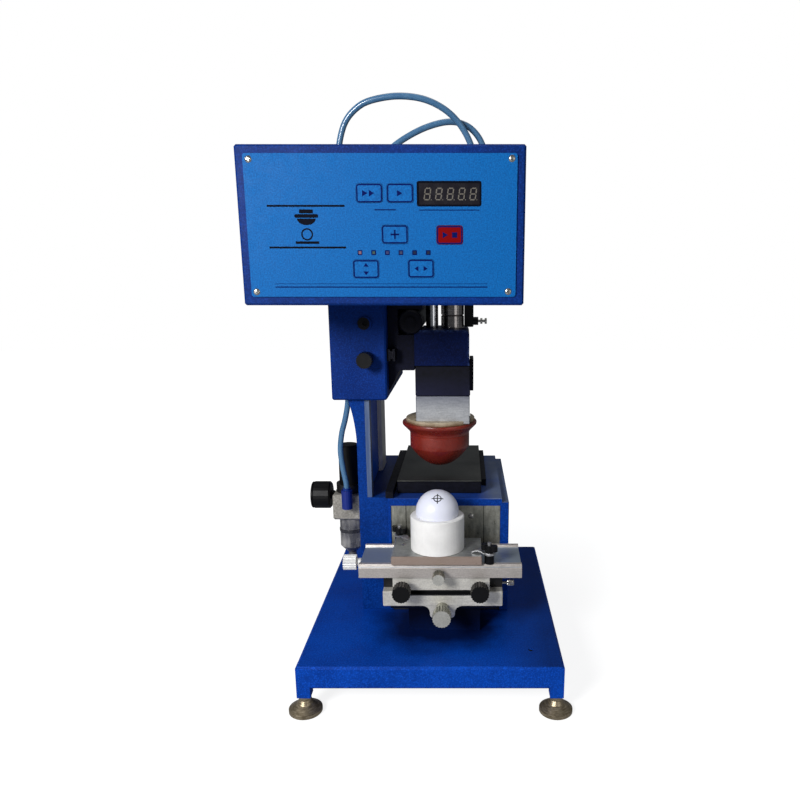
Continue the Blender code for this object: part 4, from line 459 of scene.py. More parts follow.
def powder_coat(name, dark, light, roughness=0.46):
    """Speckled satin powder coat; returns the material, its tree and its shader."""
    new, tree, shader = material(name, light, roughness, IOR=1.40, Specular_IOR_Level=0.14)
    place = coordinates(tree)
    drift = spread(tree, grain(tree, place, 16, 4), 0.35, 0.65)
    tree.links.new(blend_colour(tree, drift, dark, light), shader.inputs["Base Color"])
    mottle = spread(tree, grain(tree, place, 520, 2), 0.40, 0.60, 0.0, 0.42)
    tinted(tree, shader, mottle, tuple(share * 0.60 for share in dark))
    specks = spread(tree, grain(tree, place, 760, 1, 0.4), 0.50, 0.68, 0.0, 0.5)
    tinted(tree, shader, specks, tuple(1.5 * share + 0.004 for share in light))
    tree.links.new(spread(tree, grain(tree, place, 30, 3), 0.3, 0.7, roughness - 0.07, roughness + 0.09),
                   shader.inputs["Roughness"])
    relief(tree, shader, grain(tree, place, 640, 2), 0.16, 0.0003)
    return new, tree, shader


BASE_TOP = 0.0495
SHADOW_CENTRE = (0.0130, -0.0640, 0)
base_blue, tree, shader = powder_coat("powder_blue", (0.0008, 0.040, 0.310), (0.0014, 0.064, 0.450))
spot = place_of(tree)
wander = spread(tree, grain(tree, coordinates(tree), 22, 4), 0.3, 0.7, 0.0, 0.020)
away = figure(tree, "ADD", arrow(tree, "DISTANCE", coordinates(tree, (0.78, 1, 0)), SHADOW_CENTRE), wander)
top_only = masked(tree, spot["Z"], BASE_TOP)
# Painted shadow: the top darkens round a spot under the cross table.
tinted(tree, shader, both_of(tree, spread(tree, away, 0.046, 0.080, 0.90, 0.0), top_only),
       (0.0006, 0.0030, 0.026))
# Painted shade: the top darkens towards the right edge.
tinted(tree, shader, both_of(tree, spread(tree, spot["X"], 0.075, 0.120, 0.0, 0.6), top_only),
       (0.0022, 0.014, 0.075))
dress(base_blue, "base_plate")

# Plate table and its stand: the same coat, a shade darker. A painted sheen lies on the table's upward faces
# towards its right side, and painted shade darkens the stand almost to black under the slides.
table_blue, tree, shader = powder_coat("powder_table", (0.0008, 0.028, 0.210), (0.0012, 0.046, 0.320))
# Painted sheen on the table's upward faces, stronger towards the right.
painted_top_sheen = both_of(tree, masked(tree, facing(tree, "Z"), 0.6),
               spread(tree, place_of(tree)["X"], 0.052, 0.070, 0.12, 1.0),
               spread(tree, grain(tree, coordinates(tree), 40, 5), 0.3, 0.7, 0.5, 0.85))
tinted(tree, shader, painted_top_sheen, (0.150, 0.185, 0.235))
dress(table_blue, "table_body")
stand_blue, tree, shader = powder_coat("powder_stand", (0.0008, 0.030, 0.240), (0.0014, 0.050, 0.370))
# Painted shade over the whole stand, nearly black, a little lighter at its foot.
shade_wander = spread(tree, grain(tree, coordinates(tree, (1, 1, 0.2)), 50, 4), 0.3, 0.7, 0.0, 0.008)
height = figure(tree, "ADD", place_of(tree)["Z"], shade_wander)
tinted(tree, shader, spread(tree, height, 0.052, 0.072, 0.88, 1.0), (0.0005, 0.0016, 0.010))
dress(stand_blue, "table_stand")

# Control box: a folded steel box, sprayed a darker blue than the base. A rear cover of the same sheet is
# screwed on, and the cable's black gland is clamped in it.
GLAND_START = -0.0928
box_blue, *_ = powder_coat("powder_box_blue", (0.0007, 0.019, 0.135), (0.0011, 0.030, 0.195))
dress(box_blue, "control_box")
cover_blue, tree, shader = powder_coat("powder_cover", (0.0008, 0.018, 0.115), (0.0012, 0.028, 0.165))
tinted(tree, shader, masked(tree, place_of(tree)["Y"], GLAND_START), (0.006, 0.006, 0.007))
dress(cover_blue, "box_back_cover")

# Head housing: a steel hood with a side cover on its left, whose edge shows as a dark line, a screw boss in
# black oxide on its front, and a film of grey dust on top.
COVER_CENTRE, COVER_HALF = (0, 0.0600, 0.3615), (0, 0.0800, 0.0640)
COVER_LINE = 0.0004
BOSS_CENTRE, BOSS_RADIUS = (-0.0605, 0, 0.3598), 0.0062
housing_blue, tree, shader = powder_coat("powder_housing", (0.0006, 0.018, 0.140), (0.001, 0.030, 0.215))
spot = place_of(tree)
tinted(tree, shader, spread(tree, spot["Z"], 0.4385, 0.4398, 0.0, 0.25), (0.20, 0.21, 0.24))
offset = arrow(tree, "ABSOLUTE", arrow(tree, "SUBTRACT", coordinates(tree), COVER_CENTRE))
edge = add(tree, "SeparateXYZ", {0: arrow(tree, "SUBTRACT", offset, COVER_HALF)}).outputs
edge = figure(tree, "MAXIMUM", edge["Y"], edge["Z"])
tinted(tree, shader, both_of(tree, between(tree, edge, -COVER_LINE, COVER_LINE),
                             masked(tree, spot["X"], -0.0945, False), 0.85), (0.0010, 0.0020, 0.010))
away = arrow(tree, "DISTANCE", coordinates(tree, (1, 0, 1)), BOSS_CENTRE)
tinted(tree, shader, both_of(tree, masked(tree, away, BOSS_RADIUS, False),
                             between(tree, spot["Y"], -0.0420, -0.030)), (0.010, 0.010, 0.012))
dress(housing_blue, "head_housing")

# Column: the coat stops at the two guideways, which are ground bare. The front one carries a painted bluish
# reflection and the rear one is painted bright as painted light, with wiped oil streaks along both. Painted
# light brightens the right-facing side of the web between them.
WAY_LEFT, WAY_FOOT, REAR_WAY_START = -0.0634, 0.1784, 0.04
column_blue, tree, shader = powder_coat("powder_column", (0.0008, 0.024, 0.170), (0.0012, 0.038, 0.250))
spot = place_of(tree)
# Painted light: the web's right-facing side is lifted to a brighter blue.
web_painted_light = both_of(tree, masked(tree, facing(tree, "X"), 0.5), masked(tree, spot["X"], -0.0700),
              masked(tree, spot["Z"], 0.18))
tinted(tree, shader, web_painted_light, (0.004, 0.085, 0.620))
streak = grain(tree, coordinates(tree, (60, 60, 3)), 8, 5)
rear = masked(tree, spot["Y"], REAR_WAY_START)
# The front way's bluish tone is a painted reflection; the rear way is painted nearly white as painted light.
metal = blend_colour(tree, rear, (0.075, 0.115, 0.235), (0.95, 0.95, 0.95))
oiled = blend_colour(tree, rear, (0.16, 0.20, 0.28), (0.60, 0.60, 0.60))
metal = blend_colour(tree, spread(tree, streak, 0.4, 0.62, 0.0, 0.55), metal, oiled)
bare = both_of(tree, masked(tree, spot["X"], WAY_LEFT), masked(tree, spot["Z"], WAY_FOOT))
tinted(tree, shader, bare, metal)
tree.links.new(both_of(tree, bare, 0.12), shader.inputs["Metallic"])
tree.links.new(spread(tree, streak, 0.3, 0.7, 0.26, 0.46), shader.inputs["Roughness"])
dress(column_blue, "column")

# Pad bracket: a steel block under the carriage that holds the pad's cylinder. Its coat is painted dark as
# painted shade, and it is patchily paler along its upper and right front edges.
# Painted shade: this coat is far darker than the other blue parts.
bracket_blue, tree, shader = powder_coat("powder_bracket", (0.0005, 0.003, 0.028), (0.001, 0.008, 0.062),
                                         0.42)
spot = place_of(tree)
low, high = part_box("pad_bracket")
in_front = spread(tree, spot["Y"], low[1] + 0.0015, low[1] + 0.006, 1.0, 0.15)
edge = figure(tree, "MAXIMUM",
              both_of(tree, spread(tree, spot["Z"], high[2] - 0.0030, high[2] - 0.0004), in_front),
              both_of(tree, spread(tree, spot["X"], high[0] - 0.0022, high[0] - 0.0004), in_front))
edge_patches = spread(tree, grain(tree, coordinates(tree), 300, 5), 0.42, 0.66, 0.0, 0.6)
tinted(tree, shader, both_of(tree, edge, edge_patches), (0.05, 0.09, 0.24))
dress(bracket_blue, "pad_bracket")


# Cross table: three ground aluminium slides with fine cutter lines along them. Painted shade darkens the
# groove between the two lower ones and the middle one's set-back ends and back; the channel's floor on top
# carries painted shade and a bluish painted reflection.
def milled(name, tones, roughness, stretch, lines=0.25, stains=0.3, metallic=1.0, **sockets):
    """Machined metal: two tones along the cutter lines, flecks, stains, and gloss that follows the lines."""
    new, tree, shader = material(name, tones[1], roughness, metallic, **sockets)
    place = coordinates(tree)
    cuts = grain(tree, coordinates(tree, stretch), 26, 6, 0.65)
    tree.links.new(blend_colour(tree, spread(tree, cuts, 0.35, 0.65), *tones), shader.inputs["Base Color"])
    fleck = spread(tree, grain(tree, place, 640, 2), 0.42, 0.62, 0.0, 0.25)
    tinted(tree, shader, fleck, tuple(share * 0.55 for share in tones[0]))
    blot = spread(tree, grain(tree, place, 34, 5), 0.5, 0.72, 0.0, stains)
    tinted(tree, shader, blot, tuple(share * 0.45 for share in tones[0]))
    tree.links.new(spread(tree, cuts, 0.3, 0.7, roughness - 0.08, roughness + 0.12),
                   shader.inputs["Roughness"])
    relief(tree, shader, cuts, lines, 0.0003)
    if lines > 0.1:
        pits = spread(tree, grain(tree, place, 300, 2), 0.62, 0.75)
        relief(tree, shader, pits, 2 * lines * lines, 0.0003)
    return new, tree, shader


ALONG_X = (5, 30, 30)
CHANNEL_FLOOR, CHANNEL_SKIN = 0.1278, 0.0005
GROOVE_LEFT, GROOVE_RIGHT = -0.0205, 0.0520
GROOVE_SHADE = (0.012, 0.012, 0.014)


def slide_metal(name, limit, above):
    """A slide's ground aluminium with painted shade in the groove; returns material, tree, shader and place.
    """
    new, tree, shader = milled(name, ((0.72, 0.69, 0.62), (0.88, 0.85, 0.77)), 0.42, ALONG_X, 0.12, 0.25, 0.5)
    spot = place_of(tree)
    groove = both_of(tree, masked(tree, spot["Z"], limit, above),
                     between(tree, spot["X"], GROOVE_LEFT, GROOVE_RIGHT))
    # Painted shade in the groove between the lower and middle slides.
    tinted(tree, shader, groove, GROOVE_SHADE)
    return new, tree, shader, spot


top_metal, tree, shader = milled("aluminium_milled", ((0.56, 0.51, 0.47), (0.66, 0.61, 0.57)), 0.38,
                                 ALONG_X, 0.12, 0.2, 0.6)
# Painted shade and a bluish painted reflection on the channel's floor.
tinted(tree, shader, between(tree, place_of(tree)["Z"], CHANNEL_FLOOR, CHANNEL_FLOOR + CHANNEL_SKIN),
       (0.34, 0.40, 0.47))
dress(top_metal, "top_slide")
middle_metal, tree, shader, spot = slide_metal("aluminium_stepped", 0.1027, False)
# Painted shade on the middle slide's set-back ends and back.
tinted(tree, shader, masked(tree, spot["Y"], -0.0925), GROOVE_SHADE)
dress(middle_metal, "middle_slide")
lower_metal, *_ = slide_metal("aluminium_ground", 0.0976, True)
dress(lower_metal, "lower_slide")

# Knobs of the cross table: knurled steel ones whose turned barrels are painted darker than their faces as
# painted shade, and a bright anodised one on the left. The flow valve's screw is of the same steel.
knob_steel, tree, shader = milled("knob_steel", ((0.52, 0.51, 0.46), (0.62, 0.61, 0.56)), 0.30, (2, 2, 2),
                                  0.04, 0.0, 0.6)
# Painted shade: faces that do not look forward, such as the barrels, are darkened.
tinted(tree, shader, masked(tree, facing(tree, "Y"), -0.8), (0.24, 0.24, 0.20))
dress(knob_steel, "y_knob", "top_clamp_knob", "flow_screw")
bright_knob, *_ = milled("anodised_knob", ((0.78, 0.78, 0.76), (0.92, 0.92, 0.90)), 0.34, (9, 9, 9),
                         0.15, 0.1, 0.25)
dress(bright_knob, "x_knob")

# Jig plate and clamps: a stained aluminium plate with a sawn, pinkish front edge, held by two bent straps of
# steel on black posts.
jig_metal, tree, shader = milled("aluminium_jig", ((0.30, 0.31, 0.30), (0.50, 0.51, 0.50)), 0.34, ALONG_X,
                                 0.12, 0.9, 0.6)
tinted(tree, shader, both_of(tree, masked(tree, facing(tree, "Y"), -0.5, False), 0.85), (0.44, 0.32, 0.26))
dress(jig_metal, "jig_plate")
POST_TOP = 0.1395
strap_steel, tree, shader = milled("strap_steel", ((0.26, 0.26, 0.27), (0.50, 0.50, 0.51)), 0.36,
                                   (12, 12, 12), 0.12, 0.35, 0.75)
tinted(tree, shader, masked(tree, place_of(tree)["Z"], POST_TOP, False), (0.010, 0.010, 0.012))
dress(strap_steel, "clamp_left", "clamp_right")

# Table's front plate: three upright strips of dull aluminium side by side, painted nearly black with shade at
# their foot.
# The etched plate on the table is dark steel, and its frame and bed are blackened.
SEAMS = (-0.0230, 0.0593)
SEAM_HALF = 0.0004
front_metal, tree, shader = milled("aluminium_front", ((0.28, 0.28, 0.24), (0.48, 0.47, 0.41)), 0.34,
                                   (9, 9, 3), 0.12, 0.45, 0.7)
spot = place_of(tree)
for seam in SEAMS:
    line = between(tree, spot["X"], seam - SEAM_HALF, seam + SEAM_HALF)
    tinted(tree, shader, both_of(tree, line, 0.8), (0.030, 0.030, 0.028))
# Painted shade: the foot turns nearly black and loses its metal under the slides.
tinted(tree, shader, spread(tree, spot["Z"], 0.070, 0.100, 0.96, 0.0), (0.004, 0.004, 0.008))
tree.links.new(spread(tree, spot["Z"], 0.070, 0.100, 0.0, 0.7), shader.inputs["Metallic"])
dress(front_metal, "table_front_plate")
plate_steel, *_ = milled("etched_plate", ((0.085, 0.086, 0.078), (0.160, 0.160, 0.150)), 0.42, (2, 30, 30),
                         0.2, 0.4)
dress(plate_steel, "cliche_plate")
black_steel, *_ = milled("black_oxide", ((0.0008, 0.0010, 0.004), (0.0028, 0.0032, 0.011)), 0.50,
                         (14, 14, 14), 0.10, 0.2, 0.1, Specular_IOR_Level=0.2)
dress(black_steel, "travel_cylinder", "plate_bed", "plate_frame")

# Levelling feet: turned steel bells on threaded studs, whose bright plating has gone brown. The lathe's
# rings still show round them.
foot_steel, *_ = milled("foot_plated", ((0.26, 0.20, 0.12), (0.56, 0.47, 0.33)), 0.36, (6, 6, 50), 0.2,
                        0.5, 0.85)
dress(foot_steel, "foot_front_left", "foot_front_right", "foot_rear_left", "foot_rear_right")

# Carriage: blued steel arm, chromed rods, a drawn cylinder tube with turned rings, and a dark rail. The
# pad's holder is painted black, lighter in patches near its lower edge; its spacer is bare, with painted
# shade at the top.
arm_steel, *_ = milled("blued_steel", ((0.0010, 0.0014, 0.008), (0.0030, 0.0042, 0.020)), 0.46,
                       (14, 14, 14), 0.10, 0.2, 0.1, Specular_IOR_Level=0.15)
dress(arm_steel, "slide_arm")
chrome_rod, *_ = milled("chromed_rod", ((0.62, 0.63, 0.66), (0.80, 0.81, 0.83)), 0.12, (1, 1, 8), 0.04, 0.1)
dress(chrome_rod, "guide_rod", "travel_rod")
rail_steel, *_ = milled("rail_steel", ((0.012, 0.012, 0.018), (0.035, 0.035, 0.045)), 0.34, (40, 1, 40),
                        0.1, 0.2)
dress(rail_steel, "slide_rail")
cylinder_steel, *_ = milled("cylinder_tube", ((0.30, 0.27, 0.26), (0.58, 0.54, 0.52)), 0.18, (1, 1, 40),
                            0.08, 0.35)
dress(cylinder_steel, "pad_cylinder")
holder_paint, tree, shader = milled("holder_paint", ((0.0006, 0.0008, 0.004), (0.0018, 0.0021, 0.010)),
                                    0.50, (14, 14, 14), 0.10, 0.2, 0.1, Specular_IOR_Level=0.2)
patchy = spread(tree, grain(tree, coordinates(tree, (1, 1, 0.4)), 40, 4), 0.35, 0.65, 0.5, 1)
lower_band = both_of(tree, spread(tree, place_of(tree)["Z"], 0.286, 0.306, 0.9, 0.0), patchy)
tinted(tree, shader, lower_band, (0.008, 0.009, 0.034))
dress(holder_paint, "pad_holder")
spacer_metal, tree, shader = milled("aluminium_spacer", ((0.44, 0.45, 0.47), (0.55, 0.56, 0.58)), 0.42,
                                    (4, 4, 60), 0.06, 0.15, 0.6)
# Painted shade on the spacer's top, under the holder.
tinted(tree, shader, spread(tree, place_of(tree)["Z"], 0.268, 0.284, 0.0, 0.7), (0.10, 0.11, 0.17))
dress(spacer_metal, "pad_spacer")

# Air fittings: the valve block is milled aluminium with black coils behind it. The regulator's body is a zinc
# casting with a black collar under its knob and a blue plastic elbow.
COIL_START = 0.0372
block_metal, tree, shader = milled("manifold_metal", ((0.40, 0.40, 0.42), (0.58, 0.58, 0.60)), 0.36,
                                   (2, 30, 30), 0.15, 0.3)
spot = place_of(tree)
tinted(tree, shader, masked(tree, spot["Y"], COIL_START), (0.006, 0.006, 0.007))
tree.links.new(masked(tree, spot["Y"], COIL_START, False), shader.inputs["Metallic"])
dress(block_metal, "valve_manifold")
COLLAR_FOOT, ELBOW_END = 0.1690, 0.003
casting, tree, shader = milled("zinc_casting", ((0.30, 0.28, 0.24), (0.56, 0.53, 0.47)), 0.38,
                               (20, 20, 20), 0.15, 0.4)
spot = place_of(tree)
tinted(tree, shader, both_of(tree, masked(tree, spot["Z"], COLLAR_FOOT), 0.98), (0.010, 0.010, 0.012))
tinted(tree, shader, masked(tree, spot["Y"], ELBOW_END, False), (0.004, 0.020, 0.200))
tree.links.new(both_of(tree, masked(tree, spot["Y"], ELBOW_END), 0.4), shader.inputs["Metallic"])
dress(casting, "regulator_body")


# Black mouldings: the knobs, nuts, gauge case, flow valve and switch are satin black plastic with a fine
# grain.
def moulded(name, colour, roughness, fine=900, strength=0.15, **sockets):
    """Moulded plastic: slight colour drift, fine grain and uneven gloss."""
    new, tree, shader = material(name, colour, roughness, **sockets)
    place = coordinates(tree)
    tones = tuple(share * 0.8 for share in colour), tuple(min(1, share * 1.15) for share in colour)
    tree.links.new(blend_colour(tree, grain(tree, place, 50, 5), *tones), shader.inputs["Base Color"])
    tree.links.new(spread(tree, grain(tree, place, 120, 3), 0.3, 0.7, roughness - 0.06, roughness + 0.08),
                   shader.inputs["Roughness"])
    relief(tree, shader, grain(tree, place, fine, 2), strength, 0.0002)
    return new, tree, shader


black_plastic, *_ = moulded("plastic_black", (0.0028, 0.0028, 0.0034), 0.42, Specular_IOR_Level=0.22)
dress(black_plastic, "lock_knob_left", "lock_knob_right", "head_lock_knob", "thumb_nut_left",
      "thumb_nut_right", "regulator_knob", "gauge", "flow_valve", "power_switch")

# Panel: a speckled blue film with pale cut edges over aluminium, a red film on the start key, and a smoked
# window over the display.
membrane, tree, shader = moulded("membrane_blue", (0.0022, 0.100, 0.360), 0.50, 1500, 0.10,
                                 Specular_IOR_Level=0.1)
speckle = spread(tree, grain(tree, coordinates(tree), 900, 2), 0.36, 0.64)
tree.links.new(blend_colour(tree, speckle, (0.0016, 0.086, 0.300), (0.0030, 0.138, 0.445)),
               shader.inputs["Base Color"])
tinted(tree, shader, masked(tree, facing(tree, "Y"), -0.5), (0.22, 0.28, 0.36))
dress(membrane, "front_panel", "key_top_left", "key_top_right", "key_middle", "key_bottom_left",
      "key_bottom_right")
membrane_red, *_ = moulded("membrane_red", (0.195, 0.0015, 0.002), 0.50, 1500, 0.10,
                           Specular_IOR_Level=0.04)
dress(membrane_red, "key_start_stop")
glass, *_ = moulded("display_smoked", (0.010, 0.009, 0.013), 0.24, 200, 0.02, Specular_IOR_Level=0.3)
dress(glass, "display_window")

# Nest: a cup of white nylon, turned to hold the ball and screwed to the jig plate from below. The tool has
# left fine rings on its wall and rim.
nylon, tree, shader = moulded("nylon_white", (0.88, 0.86, 0.84), 0.42, 700, 0.1, Subsurface_Weight=0.2,
                              Subsurface_Radius=(0.004, 0.004, 0.004))
place = coordinates(tree)
radius = arrow(tree, "DISTANCE", arrow(tree, "MULTIPLY", place, (1, 1, 0)), place_at(0, 76.7, 0))
turning = figure(tree, "ADD", radius, add(tree, "SeparateXYZ", {0: place}).outputs["Z"])
lines = add(tree, "TexNoise", {"W": turning, "Scale": 1700.0, "Detail": 3.0},
            noise_dimensions="1D").outputs["Fac"]
relief(tree, shader, lines, 0.25, 0.0002)
dress(nylon, "nest")

# Regulator's bowl: clear plastic, screwed into the casting, milky inside and streaked with painted
# highlights.
# The filter shows as a dark band half-way down, and the drain is a dark cone at its foot.
bowl, tree, shader = moulded("bowl_clear", (0.34, 0.34, 0.35), 0.16, 300, 0.05, IOR=1.58,
                             Transmission_Weight=0.55)
# Milky plastic streaked with painted highlights up and down.
milk_and_highlights = spread(tree, grain(tree, coordinates(tree, (1, 1, 0.35)), 75, 2), 0.40, 0.62)
tree.links.new(blend_colour(tree, milk_and_highlights, (0.14, 0.14, 0.16), (0.68, 0.66, 0.64)), shader.inputs["Base Color"])
height = place_of(tree)["Z"]
dark = figure(tree, "MAXIMUM", both_of(tree, between(tree, height, 0.1215, 0.1256), 0.9),
              both_of(tree, masked(tree, height, 0.1047, False), 0.6))
tinted(tree, shader, dark, (0.03, 0.03, 0.04))
dress(bowl, "regulator_bowl")


# Printing on the control panel: navy outlines and plain pictograms on the keys, thin rules and a
# pad-over-ball picture. It is a thin raised film, and each key carries its own.
def printed(sides, x, z, width, height, face, turn=0, corner=0, line=0):
    """A flat shape printed on a face that looks forward: filled, or an outline where line is given."""
    bpy.ops.object.select_all(action="DESELECT")
    if sides == 4:
        bpy.ops.mesh.primitive_plane_add(size=1, location=(0, 0, 0), rotation=(QUARTER, 0, 0))
    else:
        bpy.ops.mesh.primitive_circle_add(vertices=sides, radius=0.5, fill_type="NGON", location=(0, 0, 0),
                                          rotation=(QUARTER, math.radians(turn), 0))
    obj = bpy.context.object
    bpy.ops.object.transform_apply(location=False, rotation=True, scale=False)
    obj.scale = (width / 1000, 1, height / 1000)
    obj.location = place_at(x, face, z)
    bpy.ops.object.transform_apply(location=True, rotation=True, scale=True)
    start_edit(obj)
    if corner:
        bpy.ops.mesh.bevel(offset=corner / 1000, segments=5, affect="VERTICES")
    if line:
        bpy.ops.mesh.select_all(action="SELECT")
        bpy.ops.mesh.inset(thickness=line / 1000)
        bpy.ops.mesh.delete(type="FACE")
        bpy.ops.mesh.select_all(action="SELECT")
    bpy.ops.mesh.extrude_region_move(TRANSFORM_OT_translate={"value": (0, -INK_THICKNESS, 0)})
    bpy.ops.object.mode_set(mode="OBJECT")
    return obj


def gather(objects, name, skin, body):
    """Joins shapes into one piece."""
    select_only(*objects)
    bpy.ops.object.join()
    return settle(objects[0], name, skin, body=body)


def copied(obj, right=0, up=0):
    """A copy with its own mesh, moved in millimetres."""
    twin = obj.copy()
    twin.data = obj.data.copy()
    bpy.context.scene.collection.objects.link(twin)
    twin.location = (right / 1000, 0, up / 1000)
    return twin


QUARTER = math.radians(90)
KEY_FACE, PANEL_FACE, INK_THICKNESS = 0.2, 0.7, 0.00006
KEY_WIDTH, KEY_HEIGHT = 20.6, 14.0
navy, *_ = moulded("ink_navy", (0.001, 0.006, 0.085), 0.6, 1200, 0.1, Specular_IOR_Level=0.04)
black_ink, *_ = moulded("ink_black", (0.002, 0.003, 0.008), 0.6, 1200, 0.1, Specular_IOR_Level=0.04)
# For each key: its middle, and its marks as sides, shift right, shift up, width, height and turn.
keys = {"key_top_left": (-48.55, 470.15, [(3, -4.2, 0, 5.6, 5.6, 90), (3, 1.2, 0, 5.6, 5.6, 90)]),
        "key_top_right": (-24.0, 470.15, [(3, -1.0, 0, 5.6, 5.6, 90)]),
        "key_middle": (-28.85, 438.7, [(4, 0, 0, 7, 1.3, 0), (4, 0, 0, 1.3, 7, 0)]),
        "key_start_stop": (15.25, 438.25, [(3, -4.2, 0, 5.6, 5.6, 90), (4, 4, 0, 4.2, 4.2, 0)]),
        "key_bottom_left": (-52.9, 411.7, [(3, 0, 2.9, 5.0, 3.9, 0), (3, 0, -2.9, 5.0, 3.9, 180)]),
        "key_bottom_right": (-8.2, 412.05, [(3, -3.2, 0, 4.4, 4.8, -90), (3, 3.2, 0, 4.4, 4.8, 90)])}
outline = printed(4, 0, 0, KEY_WIDTH, KEY_HEIGHT, KEY_FACE, corner=2.2, line=1.1)
for name, (x, z, marks) in keys.items():
    shapes = [copied(outline, x, z)]
    for sides, dx, dz, width, height, turn in marks:
        shapes.append(printed(sides, x + dx, z + dz, width, height, KEY_FACE, turn))
    gather(shapes, name + "_print", navy, name)
bpy.data.objects.remove(outline)

PICTURE_X, BOWL_TOP = -99.5, 450.9
shapes = [printed(4, PICTURE_X, z, width, height, PANEL_FACE, corner=corner)
          for z, width, height, corner in ((460.6, 62, 1.5, 0), (428.6, 62, 1.5, 0), (456.4, 11, 3.0, 0),
                                           (452.9, 19, 2.8, 1.2), (432.4, 19, 2.0, 0))]
shapes.append(printed(32, PICTURE_X, 438.8, 9.6, 9.6, PANEL_FACE, line=1.2))
bowl_print = printed(32, PICTURE_X, BOWL_TOP, 15, 10, PANEL_FACE)
start_edit(bowl_print)
bpy.ops.mesh.bisect(plane_co=place_at(0, 0, BOWL_TOP), plane_no=(0, 0, 1), clear_outer=True)
bpy.ops.object.mode_set(mode="OBJECT")
gather(shapes + [bowl_print], "pictogram", black_ink, "head")
gather([printed(4, x, z, width, height, PANEL_FACE)
        for x, z, width, height in ((-40.7, 397.4, 173.6, 0.9), (-40.7, 400.0, 173.6, 0.35),
                                    (-36.2, 457.6, 17, 0.9), (15.0, 457.4, 48, 0.7))],
       "panel_rules", navy, "head")

# Indicator lamps: six square lenses in printed dark frames, in a row under the keys. The first lens is
# pale pink, and the others are darker. One lamp is modelled and copied.
LAMP_X, LAMP_Z, LAMP_STEP = -57.4, 424.6, 11.05
lamp_tones = ((0.21, 0.12, 0.15), (0.05, 0.09, 0.08), (0.04, 0.05, 0.14), (0.05, 0.06, 0.12),
              (0.012, 0.02, 0.05), (0.012, 0.02, 0.04))
lamp_frame = printed(4, LAMP_X, LAMP_Z, 3.9, 3.9, PANEL_FACE, corner=0.5, line=0.85)
lamp_lens = printed(4, LAMP_X, LAMP_Z, 2.3, 2.3, PANEL_FACE)
for i, tone in enumerate(lamp_tones):
    lens_skin, *_ = moulded("lamp_lens_%d" % i, tone, 0.18, 400, 0.05)
    settle(copied(lamp_frame, LAMP_STEP * i), "lamp_frame_%d" % i, navy, body="head")
    settle(copied(lamp_lens, LAMP_STEP * i), "lamp_lens_%d" % i, lens_skin, body="head")
bpy.data.objects.remove(lamp_frame)
bpy.data.objects.remove(lamp_lens)

# Display: a black bezel and five unlit grey seven-segment digits, leaning slightly, with their points.
# One digit is modelled and copied.
segment_grey, *_ = moulded("digit_grey", (0.135, 0.120, 0.100), 0.35, 900, 0.05)
gather([printed(4, 14.95, 469.75, 51.5, 19.3, PANEL_FACE, corner=1.6, line=1.5)], "display_bezel", black_ink,
       "head")
DIGIT_X, DIGIT_Z, DIGIT_FACE, DIGIT_PITCH = -2.3, 469.6, 1.1, 9.1
DIGIT_LEAN = math.tan(math.radians(8))
ACROSS, UPRIGHT = (3.5, 0.92), (0.92, 3.5)
bars = [(0, 4.3, ACROSS), (0, 0, ACROSS), (0, -4.3, ACROSS), (-2.15, 2.15, UPRIGHT), (2.15, 2.15, UPRIGHT),
        (-2.15, -2.15, UPRIGHT), (2.15, -2.15, UPRIGHT)]
shapes = [printed(4, DIGIT_X + dx, DIGIT_Z + dz, *size, DIGIT_FACE, corner=0.4) for dx, dz, size in bars]
shapes.append(printed(16, DIGIT_X + 3.6, DIGIT_Z - 4.4, 0.8, 0.8, DIGIT_FACE))
first = gather(shapes, "digit_0", segment_grey, "head")
for vertex in first.data.vertices:
    vertex.co.x += (vertex.co.z - DIGIT_Z / 1000) * DIGIT_LEAN
for i in range(1, 5):
    settle(copied(first, DIGIT_PITCH * i), "digit_%d" % i, body="head")

# Screws: plated steel, domed, with a cross recess cut into the head. One is modelled, and each screw of the
# machine is a copy of it, turned and sized. Four hold the panel at its corners.
SCREW_RADIUS = 2.8
plated, *_ = milled("plated_screw", ((0.42, 0.40, 0.36), (0.74, 0.72, 0.68)), 0.24, (9, 9, 9), 0.1, 0.3)
head_profile = ((0, 0.34), (0.35, 0.33), (0.68, 0.25), (0.9, 0.12), (1, 0), (0, 0))
first_screw = lathe([(SCREW_RADIUS * x, SCREW_RADIUS * z) for x, z in head_profile], (0, 0, 0), 32)
for angle in (0, QUARTER):
    bpy.ops.object.select_all(action="DESELECT")
    bpy.ops.mesh.primitive_cube_add(size=SCREW_RADIUS / 1000, location=(0, 0, 0.36 * SCREW_RADIUS / 1000),
                                    rotation=(0, 0, angle))
    blade = bpy.context.object
    blade.scale = (1.15, 0.24, 0.36)
    cut_with(first_screw, blade)


def cross_screw(name, centre, radius, body, axis=(0, -1, 0), turn=20):
    """A screw whose head lies on a face; centre is on the face under it."""
    screw = copied(first_screw)
    screw.scale = [radius / SCREW_RADIUS] * 3
    screw.location = centre
    outwards = Vector(axis).to_track_quat("Z", "Y")
    screw.rotation_euler = (outwards @ Quaternion((0, 0, 1), math.radians(turn))).to_euler()
    settle(screw, name, plated, smooth=35, body=body)


for i, (x, z) in enumerate(((-143.0, 495.6), (64.6, 496.0), (-143.2, 393.6), (63.0, 393.8))):
    cross_screw("panel_screw_%d" % i, place_at(x, PANEL_FACE, z), 2.8, "head", turn=15 + 31 * i)

